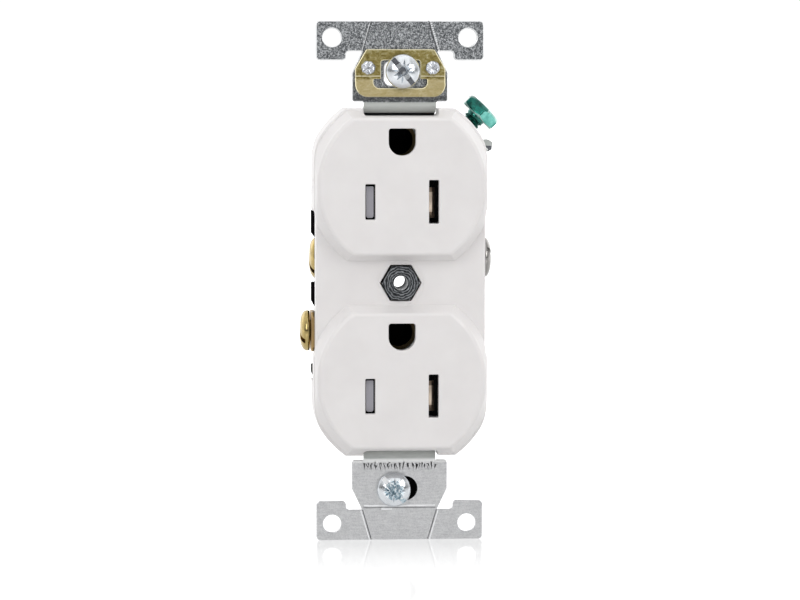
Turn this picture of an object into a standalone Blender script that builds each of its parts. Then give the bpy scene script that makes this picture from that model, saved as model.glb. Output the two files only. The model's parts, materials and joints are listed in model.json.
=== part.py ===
"""Duplex wall outlet, built from its separate pieces.

Frame: metres, +Z up, the faces look towards -Y. The origin is the middle of the
mounting strap's front plane, on the axis of the centre post.
All dimensions below are in millimetres and are scaled to metres by MM.
"""

import math

import bmesh
import bpy
from mathutils import Matrix, Vector

MM = 0.001

# ---------------------------------------------------------------- dimensions
GAP = 0.3                    # clearance kept between touching pieces

# depths along Y (front is negative)
FACE_Y = -6.75               # raised outlet faces
MID_Y = -3.0                 # face of the middle zone
COVER_REAR_Y = 3.3           # rear edge of the cover
SKIRT_REAR_Y = 9.5           # rear edge of the cover's side skirts
FACE_T = 1.75                # thickness of the raised faces
BODY_FRONT_Y = 5.2
BODY_REAR_Y = 22.0
BODY_WALL = 1.6

# cover outline, one truncated circle per outlet
LOBE_Z = 19.45               # outlet centres above and below the middle
LOBE_R, LOBE_HX, LOBE_HZ = 19.0, 17.45, 15.45
FLAT_R, FLAT_HX, FLAT_HZ = 16.2, 16.3, 13.15
MID_HX = 17.0                # half width between the outlets
SCOOP_R = 4.7

# blade slots and ground holes
SLOT_X = 6.35                # half of the 12.7 mm blade spacing
SLOT_Z = (16.45, -22.45)     # blade centre lines, upper and lower outlet
SLOT_W = 2.0
HOT_LEN, NEUTRAL_LEN = 7.1, 8.7
GROUND_UP = 11.9             # ground pin centre above the blade line
GROUND_R = 2.7

# mounting strap
STRAP_T = 1.27
STRAP_HALF = 52.4
EAR_HX = 16.85
EAR_HOLE = (13.65, 49.05, 1.8)
SLOT_CENTRE_Z = 41.9
STRAP_SLOT = (7.2, 4.8)      # length across, height
LEAF_Y = 3.63                # front face of the strap inside the device
NECK_Z = 34.585              # neutral line of the offset neck
NECK_HX = 7.3
BEND_R = 1.25                # neutral bend radius

# centre post
HEX_AF = 7.0
POST_HOLE_R = 1.4            # #6-32 minor diameter
POST_FRONT_Y = -3.4

# terminals
TERM_Z = (4.24, -10.64)
TERM_Y = 10.0
TERM_SHANK_R = 2.08          # #8-32
TERM_HEAD_R = 4.15
TERM_HEAD_T = 1.95
STRIP_X = 14.55              # outer face of the contact strips
PLATE_X = 14.85              # inner face of a tightened pressure plate
PLATE_T = 0.8
HEAD_X = 15.9                # underside of a tightened screw head
BACKED_OUT = {               # how far each terminal stands open as supplied
    "hot_upper": 0.0, "hot_lower": 1.9,
    "neutral_upper": 1.5, "neutral_lower": 0.0,
}

# ground terminal, its axis 45 degrees up and to the right
GND_T = 11.95                # screw axis, along the ear
GND_Y = 8.3
EAR_N = (30.33, 31.6)        # ear's inner and outer face, along the axis
GND_HEAD_N = 34.75
GND_HEAD_T = 2.75
GND_AF = 7.6

# box screws
SCREW_R = 1.75               # #6-32
SCREW_HEAD_R = 3.45
SCREW_LEN = 22.0
TOP_SCREW = (0.4, 42.3)
BOTTOM_SCREW = (-1.2, -42.1)

# tamper-resistant shutters
SHUTTER_FRONT_Y = -4.65
SHUTTER_REAR_Y = -1.5
SHUTTER_TRAVEL = 2.8

# rear assembly screws
ASSEMBLY_XZ = ((-9.3, 30.1), (9.3, -30.1))

# ---------------------------------------------------------------- materials
MATERIALS = {
    "cover_white": ((0.76, 0.74, 0.73), 0.38, 0.0),
    "body_black": ((0.012, 0.012, 0.013), 0.45, 0.0),
    "galvanised_steel": ((0.47, 0.48, 0.49), 0.42, 0.9),
    "clip_brass": ((0.45, 0.36, 0.14), 0.35, 0.95),
    "rivet_steel": ((0.62, 0.64, 0.66), 0.3, 1.0),
    "post_steel": ((0.2, 0.21, 0.22), 0.45, 0.9),
    "zinc_screw": ((0.7, 0.72, 0.75), 0.25, 1.0),
    "retainer_fibre": ((0.01, 0.01, 0.01), 0.7, 0.0),
    "green_screw": ((0.0, 0.22, 0.17), 0.25, 0.85),
    "brass_screw": ((0.72, 0.55, 0.25), 0.25, 1.0),
    "silver_screw": ((0.75, 0.76, 0.77), 0.25, 1.0),
    "contact_brass": ((0.68, 0.5, 0.24), 0.35, 1.0),
    "plated_brass": ((0.68, 0.66, 0.6), 0.35, 1.0),
    "shutter_grey": ((0.36, 0.36, 0.4), 0.45, 0.0),
    "bronze_leaf": ((0.3, 0.22, 0.15), 0.4, 0.9),
    "spring_steel": ((0.5, 0.5, 0.52), 0.3, 1.0),
    "base_nylon": ((0.06, 0.06, 0.065), 0.5, 0.0),
}


def material(name):
    found = bpy.data.materials.get(name)
    if found:
        return found
    colour, rough, metal = MATERIALS[name]
    mat = bpy.data.materials.new(name)
    mat.use_nodes = True
    shader = mat.node_tree.nodes["Principled BSDF"]
    shader.inputs["Base Color"].default_value = (*colour, 1.0)
    shader.inputs["Roughness"].default_value = rough
    shader.inputs["Metallic"].default_value = metal
    mat.diffuse_color = (*colour, 1.0)
    return mat


# ---------------------------------------------------------------- mesh tools
for old in list(bpy.data.objects):
    bpy.data.objects.remove(old, do_unlink=True)

SCENE = bpy.context.scene


def add_object(name, bm):
    """A bmesh in millimetres becomes an object in metres."""
    bmesh.ops.recalc_face_normals(bm, faces=bm.faces)
    bmesh.ops.scale(bm, vec=(MM, MM, MM), verts=bm.verts)
    mesh = bpy.data.meshes.new(name)
    bm.to_mesh(mesh)
    bm.free()
    ob = bpy.data.objects.new(name, mesh)
    SCENE.collection.objects.link(ob)
    return ob


def ring_solid(name, rings, loop=False):
    """Skin equal rings of points; capped at both ends, or closed on itself when loop is set."""
    bm = bmesh.new()
    rows = [[bm.verts.new(p) for p in ring] for ring in rings]
    n = len(rows[0])
    pairs = list(zip(rows, rows[1:]))
    if loop:
        pairs.append((rows[-1], rows[0]))
    for a, b in pairs:
        for i in range(n):
            j = (i + 1) % n
            bm.faces.new((a[i], a[j], b[j], b[i]))
    if not loop:
        bm.faces.new(rows[0])
        bm.faces.new(rows[-1])
    return add_object(name, bm)


def prism(name, pts, lo, hi, axis="Y"):
    """Extrude a flat outline: (X, Z) along Y, (Y, Z) along X, or (X, Y) along Z."""
    def at(u, v, w):
        return {"Y": (u, w, v), "X": (w, u, v), "Z": (u, v, w)}[axis]
    return ring_solid(name, [[at(u, v, lo) for u, v in pts], [at(u, v, hi) for u, v in pts]])


def box(name, x0, x1, y0, y1, z0, z1):
    return prism(name, [(x0, z0), (x1, z0), (x1, z1), (x0, z1)], y0, y1)


def turned(name, profile, centre, axis, seg=24, turn=0.0):
    """Solid of revolution. profile is (radius, height) from one end of the axis to the other; a first and last radius of 0 close it."""
    rot = Vector((0, 0, 1)).rotation_difference(Vector(axis).normalized()).to_matrix()
    centre = Vector(centre)
    bm = bmesh.new()
    rows = []
    for r, h in profile:
        if r == 0:
            rows.append([bm.verts.new(centre + rot @ Vector((0, 0, h)))])
        else:
            rows.append([
                bm.verts.new(centre + rot @ Vector((
                    r * math.cos(turn + math.tau * i / seg), r * math.sin(turn + math.tau * i / seg), h)))
                for i in range(seg)
            ])
    closed = profile[0][0] != 0
    pairs = list(zip(rows, rows[1:]))
    if closed:
        pairs.append((rows[-1], rows[0]))
    for a, b in pairs:
        for i in range(seg):
            j = (i + 1) % seg
            if len(a) == 1:
                bm.faces.new((a[0], b[j], b[i]))
            elif len(b) == 1:
                bm.faces.new((a[i], a[j], b[0]))
            else:
                bm.faces.new((a[i], a[j], b[j], b[i]))
    return add_object(name, bm)


def rod(name, centre, axis, r, h0, h1, seg=24, turn=0.0):
    return turned(name, [(0, h0), (r, h0), (r, h1), (0, h1)], centre, axis, seg, turn)


def booleans(ob, operation, others):
    """Combine ob with the others by exact Booleans, then drop the others."""
    for other in others:
        other.hide_render = True
        other.display_type = "WIRE"
        mod = ob.modifiers.new(other.name, "BOOLEAN")
        mod.operation = operation
        mod.solver = "EXACT"
        mod.object = other
    bpy.context.view_layer.update()
    graph = bpy.context.evaluated_depsgraph_get()
    mesh = bpy.data.meshes.new_from_object(ob.evaluated_get(graph))
    ob.modifiers.clear()
    ob.data = mesh
    for other in others:
        bpy.data.objects.remove(other, do_unlink=True)
    bm = bmesh.new()
    bm.from_mesh(mesh)
    bmesh.ops.remove_doubles(bm, verts=bm.verts, dist=2e-7)
    bmesh.ops.dissolve_degenerate(bm, edges=bm.edges, dist=2e-7)
    bm.to_mesh(mesh)
    bm.free()
    return ob


def join(ob, *others):
    return booleans(ob, "UNION", others)


def cut(ob, *others):
    return booleans(ob, "DIFFERENCE", others)


def finish(ob, name, mat, origin=(0, 0, 0), smooth=False):
    """Name, material and origin; origin is a point on the piece's joint axis."""
    ob.name = name
    ob.data.name = name
    ob.data.materials.clear()
    ob.data.materials.append(material(mat))
    shift = Vector(origin) * MM
    ob.data.transform(Matrix.Translation(-shift))
    ob.location = shift
    if smooth:
        ob.data.shade_smooth()
        ob.data.set_sharp_from_angle(angle=math.radians(35))
    else:
        ob.data.shade_flat()
    return ob


# ---------------------------------------------------------------- outlines
ARC = 5                      # facets on each corner arc of an outlet


def lobe(radius, hx, hz, cz, k=ARC):
    """Truncated circle round one outlet, anticlockwise."""
    a1 = math.acos(min(1.0, hx / radius))
    a2 = math.asin(min(1.0, hz / radius))
    first = [(radius * math.cos(a1 + (a2 - a1) * i / k), radius * math.sin(a1 + (a2 - a1) * i / k)) for i in range(k + 1)]
    quads = first + [(-x, z) for x, z in reversed(first)]
    quads += [(-x, -z) for x, z in first] + [(x, -z) for x, z in reversed(first)]
    return [(x, z + cz) for x, z in quads]


def long_outline(radius, hx, hz, hx_mid, step_z=10.5, k=ARC):
    """Outline round both outlets and the middle zone, anticlockwise."""
    a1 = math.acos(min(1.0, hx / radius))
    a2 = math.asin(min(1.0, hz / radius))
    arc = [(radius * math.cos(a1 + (a2 - a1) * i / k), LOBE_Z + radius * math.sin(a1 + (a2 - a1) * i / k)) for i in range(k + 1)]
    right = []
    if abs(hx - hx_mid) > 1e-6:
        right = [(hx_mid, step_z - 0.8), (hx, step_z + 0.8)]
    upper = right + arc
    upper += [(-x, z) for x, z in reversed(upper)]
    return upper + [(-x, -z) for x, z in upper]


def nt(n, t):
    """Point on the ground terminal's slanted axes: n out along the screw, t along the ear."""
    return ((n - t) / math.sqrt(2), (n + t) / math.sqrt(2))


N_AXIS = Vector((1, 0, 1)).normalized()

# ---------------------------------------------------------------- front cover
def make_cover():
    cover = prism("cover", long_outline(LOBE_R, LOBE_HX, LOBE_HZ, MID_HX), MID_Y, COVER_REAR_Y)
    parts = []
    for s in (1, -1):
        cz = s * LOBE_Z
        rings = []
        for y, r, hx, hz in ((-2.0, 18.6, 17.3, 15.1), (-3.2, 18.45, 17.25, 14.95), (-6.25, 16.75, 16.85, 13.6), (FACE_Y, FLAT_R, FLAT_HX, FLAT_HZ)):
            rings.append([(x, y, z) for x, z in lobe(r, min(hx, r - 0.02), hz, cz)])
        parts.append(ring_solid(f"lobe{s}", rings))
    # side skirts: three of the four corners, the ground terminal leaves the fourth open
    for sx, sz in ((-1, 1), (-1, -1), (1, -1)):
        outer = [(x, z) for x, z in long_outline(LOBE_R, LOBE_HX, LOBE_HZ, LOBE_HX) if x > 0 and z > 0]
        inner = [(x, z) for x, z in long_outline(LOBE_R - 1.5, LOBE_HX - 1.5, LOBE_HZ - 1.5, LOBE_HX - 1.5) if x > 0 and z > 0]
        z_low = 14.3 if sz > 0 else 20.3
        pts = [(LOBE_HX, z_low)] + outer + [(9.4, outer[-1][1]), (9.4, inner[-1][1])] + list(reversed(inner)) + [(LOBE_HX - 1.5, z_low)]
        parts.append(prism(f"skirt{sx}{sz}", [(sx * x, sz * z) for x, z in pts], 2.4, SKIRT_REAR_Y))
    parts.append(box("skirt_right", LOBE_HX - 1.5, LOBE_HX, 2.4, SKIRT_REAR_Y, 14.3, 20.8))
    join(cover, *parts)

    hollow = []
    for s in (1, -1):
        hollow.append(prism(f"deep{s}", lobe(15.8, 15.4, 12.9, s * LOBE_Z), FACE_Y + FACE_T, 0.0))
    cut(cover, *hollow)
    cut(cover, prism("wide", long_outline(17.3, 15.5, 12.95, 15.4), -1.4, COVER_REAR_Y + 1))
    bosses = [rod("middle", (0, 0, 0), (0, 1, 0), 5.8, -2.2, COVER_REAR_Y)]
    for x, z in ASSEMBLY_XZ:
        bosses.append(rod(f"boss{x}", (x, 0, z), (0, 1, 0), 2.2, -5.6, COVER_REAR_Y, 12))
    join(cover, *bosses)

    holes = []
    for i, z in enumerate(SLOT_Z):
        holes.append(box(f"hot{i}", -SLOT_X - SLOT_W / 2, -SLOT_X + SLOT_W / 2, -9, -3.5, z - HOT_LEN / 2, z + HOT_LEN / 2))
        holes.append(box(f"neu{i}", SLOT_X - SLOT_W / 2, SLOT_X + SLOT_W / 2, -9, -3.5, z - NEUTRAL_LEN / 2, z + NEUTRAL_LEN / 2))
        zg = z + GROUND_UP
        arch = [(GROUND_R * math.cos(a), zg + GROUND_R * math.sin(a)) for a in (math.pi + math.pi * k / 8 for k in range(9))]
        holes.append(prism(f"gnd{i}", arch + [(GROUND_R, zg + GROUND_R), (-GROUND_R, zg + GROUND_R)], -9, -3.5))
    holes.append(rod("scoop", (0, 0, 0), (0, 1, 0), SCOOP_R, -9, MID_Y + 0.12, 24))
    holes.append(rod("hexhole", (0, 0, 0), (0, 1, 0), (HEX_AF + 0.4) / math.sqrt(3), -9, 6, 6, 0.0))
    for s in (1, -1):
        holes.append(box(f"neck{s}", -7.55, 7.55, -9, 10, *sorted((s * 33.7, s * 37))))
    for x, z in ASSEMBLY_XZ:
        holes.append(rod(f"pilot{x}", (x, 0, z), (0, 1, 0), 1.5, -3.2, 6, 12))
    cut(cover, *holes)
    return finish(cover, "front_cover", "cover_white")


# ---------------------------------------------------------------- back body
def make_body():
    body = prism("body", long_outline(17.2, 15.6, 13.65, 15.6), BODY_FRONT_Y, BODY_REAR_Y)
    parts = [box("slab", -16.2, 16.2, 15.5, BODY_REAR_Y, -19.9, 13.7)]
    for s in (1, -1):
        for z0, z1 in ((8.9, 13.7), (-5.1, -1.1), (-19.9, -18.0)):
            parts.append(box(f"fin{s}{z0}", *sorted((s * 14.95, s * 17.2)), 3.7, 16.0, z0, z1))
    join(body, *parts)
    cut(body, prism("hollow", long_outline(15.6, 14.0, 12.75, 14.0), BODY_FRONT_Y - 1, BODY_REAR_Y - 1.8))
    pockets = []
    for s in (1, -1):
        pockets.append(box(f"pocket{s}", *sorted((s * 13.0, s * 14.9)), BODY_FRONT_Y - 1, 14.7, -15.8, 9.6))
        for z0, z1 in ((-1.1, 8.9), (-15.1, -5.1)):
            pockets.append(box(f"window{s}{z0}", *sorted((s * 13.0, s * 19)), BODY_FRONT_Y - 1, 15.5, z0, z1))
    cut(body, *pockets)
    inner = [rod("tube", (0, 0, 0), (0, 1, 0), 6.0, 7.0, BODY_REAR_Y, 24)]
    for s in (1, -1):
        inner.append(box(f"rib{s}", *sorted((s * 3.9, s * 4.5)), 8.0, BODY_REAR_Y - 1, -31.8, 31.8))
    for x, z in ASSEMBLY_XZ:
        inner.append(rod(f"boss{x}", (x, 0, z), (0, 1, 0), 2.3, BODY_FRONT_Y, BODY_REAR_Y, 12))
    join(body, *inner)
    holes = [rod("clear", (0, 0, 0), (0, 1, 0), 5.0, 6.0, 24.0, 24)]
    for x, z in ASSEMBLY_XZ:
        holes.append(rod(f"hole{x}", (x, 0, z), (0, 1, 0), 1.6, 4.0, 24.0, 12))
        holes.append(rod(f"head{x}", (x, 0, z), (0, 1, 0), 2.85, 20.0, 24.0, 16))
    cut(body, *holes)
    holes = []
    for s in (1, -1):
        for zt in TERM_Z:
            for dz in (3.0, -3.0):
                holes.append(rod(f"wire{s}{zt}{dz}", (s * 14.75, 0, zt + dz), (0, 1, 0), 1.1, 15.0, 24.0, 10))
    cut(body, *holes)
    holes = []
    # room for the strap's ground ear and the tip of its screw
    ear = [nt(29.95, 3.5), nt(36, 3.5), nt(36, 17.0), nt(29.95, 17.0)]
    holes.append(prism("earroom", ear, 4.0, 13.2))
    x, z = nt(0, GND_T)
    holes.append(rod("tiproom", (x, GND_Y, z), N_AXIS, 2.6, 25.5, 32.0, 20))
    cut(body, *holes)
    return finish(body, "back_body", "body_black")


# ---------------------------------------------------------------- strap
S0 = NECK_Z - BEND_R                     # the leaf ends and the first bend starts
S1 = S0 + math.pi / 2 * BEND_R
S2 = S1 + (LEAF_Y + STRAP_T / 2) - STRAP_T / 2 - 2 * BEND_R
S3 = S2 + math.pi / 2 * BEND_R
PLATE_SHIFT = S3 - (NECK_Z + BEND_R)     # flat length minus height, on the ears


def fold(x, t, s):
    """Flat pattern (across, through the thickness, along) to the bent strap."""
    side = 1.0 if s >= 0 else -1.0
    a = abs(s)
    d = t - STRAP_T / 2
    mid_y = LEAF_Y + STRAP_T / 2
    if a <= S0:
        y, z = mid_y + d, a
    elif a <= S1:
        phi = (a - S0) / BEND_R
        y = mid_y - BEND_R + (BEND_R + d) * math.cos(phi)
        z = S0 + (BEND_R + d) * math.sin(phi)
    elif a <= S2:
        y, z = mid_y - BEND_R - (a - S1), NECK_Z + d
    elif a <= S3:
        phi = (a - S2) / BEND_R
        y = STRAP_T / 2 + BEND_R - (BEND_R - d) * math.sin(phi)
        z = NECK_Z + BEND_R - (BEND_R - d) * math.cos(phi)
    else:
        y, z = t, a - PLATE_SHIFT
    return (x, y, side * z)


def ear_side():
    """Right-hand edge of one end of the flat pattern, from the neck out."""
    def s(z):
        return z + PLATE_SHIFT
    r = 0.8
    return [
        (NECK_HX, s(36.2)), (9.65, s(36.2)), (9.65, s(42.0)), (7.6, s(46.3)), (10.2, s(46.3)), (10.8, s(45.7)),
        (10.8, s(44.5 + r)), (10.8 + r * 0.3, s(44.5 + r * 0.3)), (10.8 + r, s(44.5)),
        (EAR_HX - r, s(44.5)), (EAR_HX - r * 0.3, s(44.5 + r * 0.3)), (EAR_HX, s(44.5 + r)),
        (EAR_HX, s(STRAP_HALF - r)), (EAR_HX - r * 0.3, s(STRAP_HALF - r * 0.3)), (EAR_HX - r, s(STRAP_HALF)),
    ]


def make_strap():
    top, bottom = ear_side(), ear_side()
    right = [(x, -s) for x, s in reversed(bottom)]
    right += [(NECK_HX, -29.0), (4.2, -28.0), (4.2, -17.4), (6.0, -16.4), (6.0, 10.4), (4.2, 11.4), (4.2, 22.0), (NECK_HX, 23.2)]
    right += top
    outline = right + [(-x, s) for x, s in reversed(right)]
    strap = prism("strap", outline, 0.0, STRAP_T)
    holes = []

    def s_of(z):
        return math.copysign(abs(z) + PLATE_SHIFT, z)
    for sx in (1, -1):
        for sz in (1, -1):
            holes.append(rod(f"ear{sx}{sz}", (sx * EAR_HOLE[0], 0, s_of(sz * EAR_HOLE[1])), (0, 1, 0), EAR_HOLE[2], -2, 4, 16))
        holes.append(rod(f"rivet{sx}", (sx * 6.45, 0, s_of(43.0)), (0, 1, 0), 1.1, -2, 4, 12))
    for sz in (1, -1):
        half, r = STRAP_SLOT[0] / 2, STRAP_SLOT[1] / 2
        zc = s_of(sz * SLOT_CENTRE_Z)
        pts = [(half - r + r * math.cos(a), r * math.sin(a)) for a in (-math.pi / 2 + math.pi * k / 8 for k in range(9))]
        # the top slot's left end is squarer and set in by half a millimetre
        left, soft = (-3.15, 1.3) if sz > 0 else (-half, r)
        for side in (1, -1):
            for k in range(5):
                a = math.pi / 2 + math.pi / 8 * k if side > 0 else math.pi + math.pi / 8 * k
                pts.append((left + soft + soft * math.cos(a), side * (r - soft) + soft * math.sin(a)))
        holes.append(prism(f"slot{sz}", [(x, zc + z) for x, z in pts], -2, 4))
    for z in SLOT_Z:
        holes.append(rod(f"pin{z}", (0, 0, z + GROUND_UP), (0, 1, 0), 3.1, -2, 4, 16))
        holes.append(rod(f"grivet{z}", (0, 0, z + GROUND_UP - 6.05), (0, 1, 0), 1.25, -2, 4, 12))
    holes.append(rod("tenon", (0, 0, 0), (0, 1, 0), 2.8, -2, 4, 16))
    cut(strap, *holes)

    bm = bmesh.new()
    bm.from_mesh(strap.data)
    bmesh.ops.scale(bm, vec=(1 / MM,) * 3, verts=bm.verts)
    steps = 4
    for side in (1, -1):
        for a, b in ((S0, S1), (S2, S3)):
            for k in range(steps + 1):
                s = side * (a + (b - a) * k / steps)
                geom = bm.verts[:] + bm.edges[:] + bm.faces[:]
                bmesh.ops.bisect_plane(bm, geom=geom, dist=1e-5, plane_co=(0, 0, s), plane_no=(0, 0, 1))
    for v in bm.verts:
        v.co = fold(*v.co)
    bpy.data.objects.remove(strap, do_unlink=True)
    strap = add_object("strap", bm)

    # ground ear, folded back from a lug beside the upper outlet
    y0, y1 = LEAF_Y, LEAF_Y + STRAP_T
    lug = prism("lug", [(6.5, 23.7), nt(EAR_N[0] + 0.6, 5.8), nt(EAR_N[0] + 0.6, 15.2), (6.5, 33.0)], y0, y1)
    ear = prism("ear", [nt(EAR_N[0], 5.8), nt(EAR_N[1], 5.8), nt(EAR_N[1], 15.2), nt(EAR_N[0], 15.2)], y0, 12.5)
    lip = prism("lip", [nt(31.0, 5.8), nt(32.6, 5.8), nt(32.6, 7.1), nt(31.0, 7.1)], 6.0, 10.6)
    x, z = nt(0, GND_T)
    collar = rod("collar", (x, GND_Y, z), N_AXIS, 3.1, 31.0, 32.55, 20)
    join(strap, lug, ear, lip, collar)
    cut(strap, rod("thread", (x, GND_Y, z), N_AXIS, 2.4, 28, 36, 20))
    return finish(strap, "mounting_strap", "galvanised_steel")


# ---------------------------------------------------------------- strap hardware
def make_clip():
    half = [(6.85, 46.7), (9.0, 42.7), (9.0, 40.6), (8.65, 39.2), (7.8, 38.0), (6.4, 37.2)]
    outline = [(-x, z) for x, z in reversed(half)]
    outline = half + outline
    clip = prism("clip", outline, -0.8, -0.35)
    cut(clip,
        prism("window", [(-4.0, 40.0), (4.0, 40.0), (4.0, 43.9), (3.4, 44.5), (-3.4, 44.5), (-4.0, 43.9)], -2, 1),
        box("wide", -5.4, 5.4, -2, 1, 38.9, 40.8),
        rod("r1", (6.45, 0, 43.0), (0, 1, 0), 1.1, -2, 1, 12),
        rod("r2", (-6.45, 0, 43.0), (0, 1, 0), 1.1, -2, 1, 12))
    bm = bmesh.new()
    bm.from_mesh(clip.data)
    bmesh.ops.scale(bm, vec=(1 / MM,) * 3, verts=bm.verts)
    bend_z = 40.85
    bmesh.ops.bisect_plane(bm, geom=bm.verts[:] + bm.edges[:] + bm.faces[:], dist=1e-5, plane_co=(0, 0, bend_z), plane_no=(0, 0, 1))
    for v in bm.verts:
        v.co.y -= max(0.0, bend_z - v.co.z) * math.tan(math.radians(13))
    bpy.data.objects.remove(clip, do_unlink=True)
    finish(add_object("clip", bm), "ground_clip", "clip_brass")
    for side, name in ((-1, "clip_rivet_left"), (1, "clip_rivet_right")):
        prof = [(0, -1.75), (1.1, -1.75), (1.45, -1.45), (1.45, -1.1), (0.8, -1.1), (0.8, 1.57), (1.3, 1.57), (1.3, 2.1), (0, 2.1)]
        finish(turned(name, prof, (side * 6.45, 0, 43.0), (0, 1, 0), 16), name, "rivet_steel", smooth=True)


def make_post():
    post = rod("post", (0, 0, 0), (0, 1, 0), HEX_AF / math.sqrt(3), POST_FRONT_Y, 3.3, 6, 0.0)
    join(post, turned("tenon", [(0, 2.8), (2.5, 2.8), (2.5, 5.2), (3.3, 5.2), (3.3, 5.7), (0, 5.7)], (0, 0, 0), (0, 1, 0), 24))
    cut(post, turned("bore", [(0, POST_FRONT_Y - 1), (1.85, POST_FRONT_Y - 1), (1.85, POST_FRONT_Y), (POST_HOLE_R, POST_FRONT_Y + 0.45), (POST_HOLE_R, 8), (0, 8)], (0, 0, 0), (0, 1, 0), 24))
    finish(post, "center_post", "post_steel")


def slotted(screw, centre, axis, across, width, depth, length=12.0):
    """Cut a driver slot into the outer face at centre; across is the slot's direction."""
    axis, across = Vector(axis).normalized(), Vector(across).normalized()
    third = axis.cross(across)
    centre = Vector(centre)
    rings = []
    for h in (-depth, 2.0):
        ring = []
        for u, v in ((-1, -1), (1, -1), (1, 1), (-1, 1)):
            ring.append(centre + axis * h + across * (u * length / 2) + third * (v * width / 2))
        rings.append(ring)
    return cut(screw, ring_solid("driver_slot", rings))


def make_box_screws():
    for name, (x, z), under in (("mounting_screw_top", TOP_SCREW, -1.9), ("mounting_screw_bottom", BOTTOM_SCREW, -0.3)):
        tip = under + SCREW_LEN
        prof = [(0, under - 2.2), (1.6, under - 2.2), (2.7, under - 1.75), (SCREW_HEAD_R, under - 0.9), (SCREW_HEAD_R, under),
                (SCREW_R, under), (SCREW_R, tip - 1.0), (0.9, tip), (0, tip)]
        screw = turned(name, prof, (x, 0, z), (0, 1, 0), 24)
        slotted(screw, (x, under - 2.2, z), (0, -1, 0), (1, 0, -1.2), 1.0, 1.0)
        finish(screw, name, "zinc_screw", (x, 0, z), smooth=True)
    x, z = BOTTOM_SCREW
    ret = box("retainer", x - 5.2, x + 5.2, STRAP_T + 0.33, STRAP_T + 1.2, z - 4.0, z + 4.0)
    cut(ret, rod("hole", (x, 0, z), (0, 1, 0), SCREW_R + 0.25, -1, 5, 20))
    finish(ret, "screw_retainer", "retainer_fibre", (x, 0, z))


def make_ground_screw():
    x, z = nt(0, GND_T)
    c = (x, GND_Y, z)
    n0, n1 = GND_HEAD_N, GND_HEAD_N + GND_HEAD_T
    ac = GND_AF / math.sqrt(3)
    head = turned("head", [(0, n0), (ac, n0), (ac, n1 - 0.7), (ac - 0.85, n1), (0, n1)], c, N_AXIS, 6, math.radians(30))
    join(head, turned("shank", [(0, n0 - 7.7), (1.4, n0 - 7.7), (TERM_SHANK_R, n0 - 7.0), (TERM_SHANK_R, n0 + 0.8), (0, n0 + 0.8)], c, N_AXIS, 20))
    outer = Vector(c) + N_AXIS * n1
    slotted(head, outer, N_AXIS, (-1, 0, 1), 1.1, 1.0)
    hx, hz = nt(34.2, GND_T)
    finish(head, "ground_screw", "green_screw", (hx, GND_Y, hz))


# ---------------------------------------------------------------- contacts and terminals
def make_contacts():
    for side, name, half, mat in ((-1, "hot_contact_strip", HOT_LEN / 2, "contact_brass"), (1, "neutral_contact_strip", NEUTRAL_LEN / 2, "plated_brass")):
        x1 = side * STRIP_X
        x0 = side * (STRIP_X - 0.9)
        lo, hi = min(x0, x1), max(x0, x1)
        yb0, yb1 = 13.3, 14.2
        flange = prism("flange", [
            (6.2, -0.7), (8.6, -0.7), (8.6, -5.5), (6.2, -5.5), (6.2, -15.4), (yb1, -15.4), (yb1, -5.5), (11.4, -5.5), (11.4, -0.7),
            (yb1, -0.7), (yb1, 9.2), (6.2, 9.2)], lo, hi, "X")
        parts = []
        for i, zc in enumerate(SLOT_Z):
            if i == 0:
                z0, z1, a0, a1 = 7.2, zc + half, 5.4, 9.2
            else:
                z0, z1, a0, a1 = zc - half, -13.6, -15.4, -11.8
            parts.append(box(f"arm{i}", *sorted((side * 9.0, side * (STRIP_X - 0.3))), yb0, yb1, a0, a1))
            parts.append(box(f"web{i}", *sorted((side * (SLOT_X - 1.5), side * (SLOT_X + 3.2))), yb0, yb1, z0, z1))
            for k in (-1, 1):
                line = [(1.28, 13.6), (0.85, 5.2), (1.3, 2.6)]
                w = 0.225
                pts = [(side * SLOT_X + k * (d + w), y) for d, y in line] + [(side * SLOT_X + k * (d - w), y) for d, y in reversed(line)]
                parts.append(prism(f"finger{i}{k}", pts, zc - half, zc + half, "Z"))
        join(flange, *parts)
        cut(flange, *[rod(f"tap{z}", (0, TERM_Y, z), (1, 0, 0), TERM_SHANK_R + 0.3, min(lo, hi) - 1, max(lo, hi) + 1, 20) for z in TERM_Z])
        finish(flange, name, mat)

    for tag, zs in (("upper", SLOT_Z[0]), ("lower", SLOT_Z[1])):
        zg = zs + GROUND_UP
        zr = zg - 6.05
        plate = box("plate", -3.9, 3.9, 5.2, 5.9, zr - 1.7, zg + 3.5)
        fingers = []
        for k in (-1, 1):
            pts = [(3.05, 5.4), (3.55, 5.4), (3.55, 9.5), (2.75, 13.4), (3.1, 15.4), (2.65, 15.4), (2.25, 13.4), (3.05, 9.5)]
            fingers.append(prism(f"finger{k}", [(k * x, y) for x, y in pts], zg - 2.0, zg + 2.0, "Z"))
        cut(plate, rod("pin", (0, 0, zg), (0, 1, 0), 2.95, 4, 8, 24), rod("riv", (0, 0, zr), (0, 1, 0), 1.25, 4, 8, 12))
        join(plate, *fingers)
        finish(plate, f"ground_contact_{tag}", "contact_brass")
        prof = [(0, 2.7), (1.4, 2.7), (1.75, 3.0), (1.75, 3.33), (0.95, 3.33), (0.95, 6.2), (1.6, 6.2), (1.6, 6.75), (0, 6.75)]
        finish(turned("r", prof, (0, 0, zr), (0, 1, 0), 16), f"ground_rivet_{tag}", "rivet_steel", smooth=True)


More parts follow.
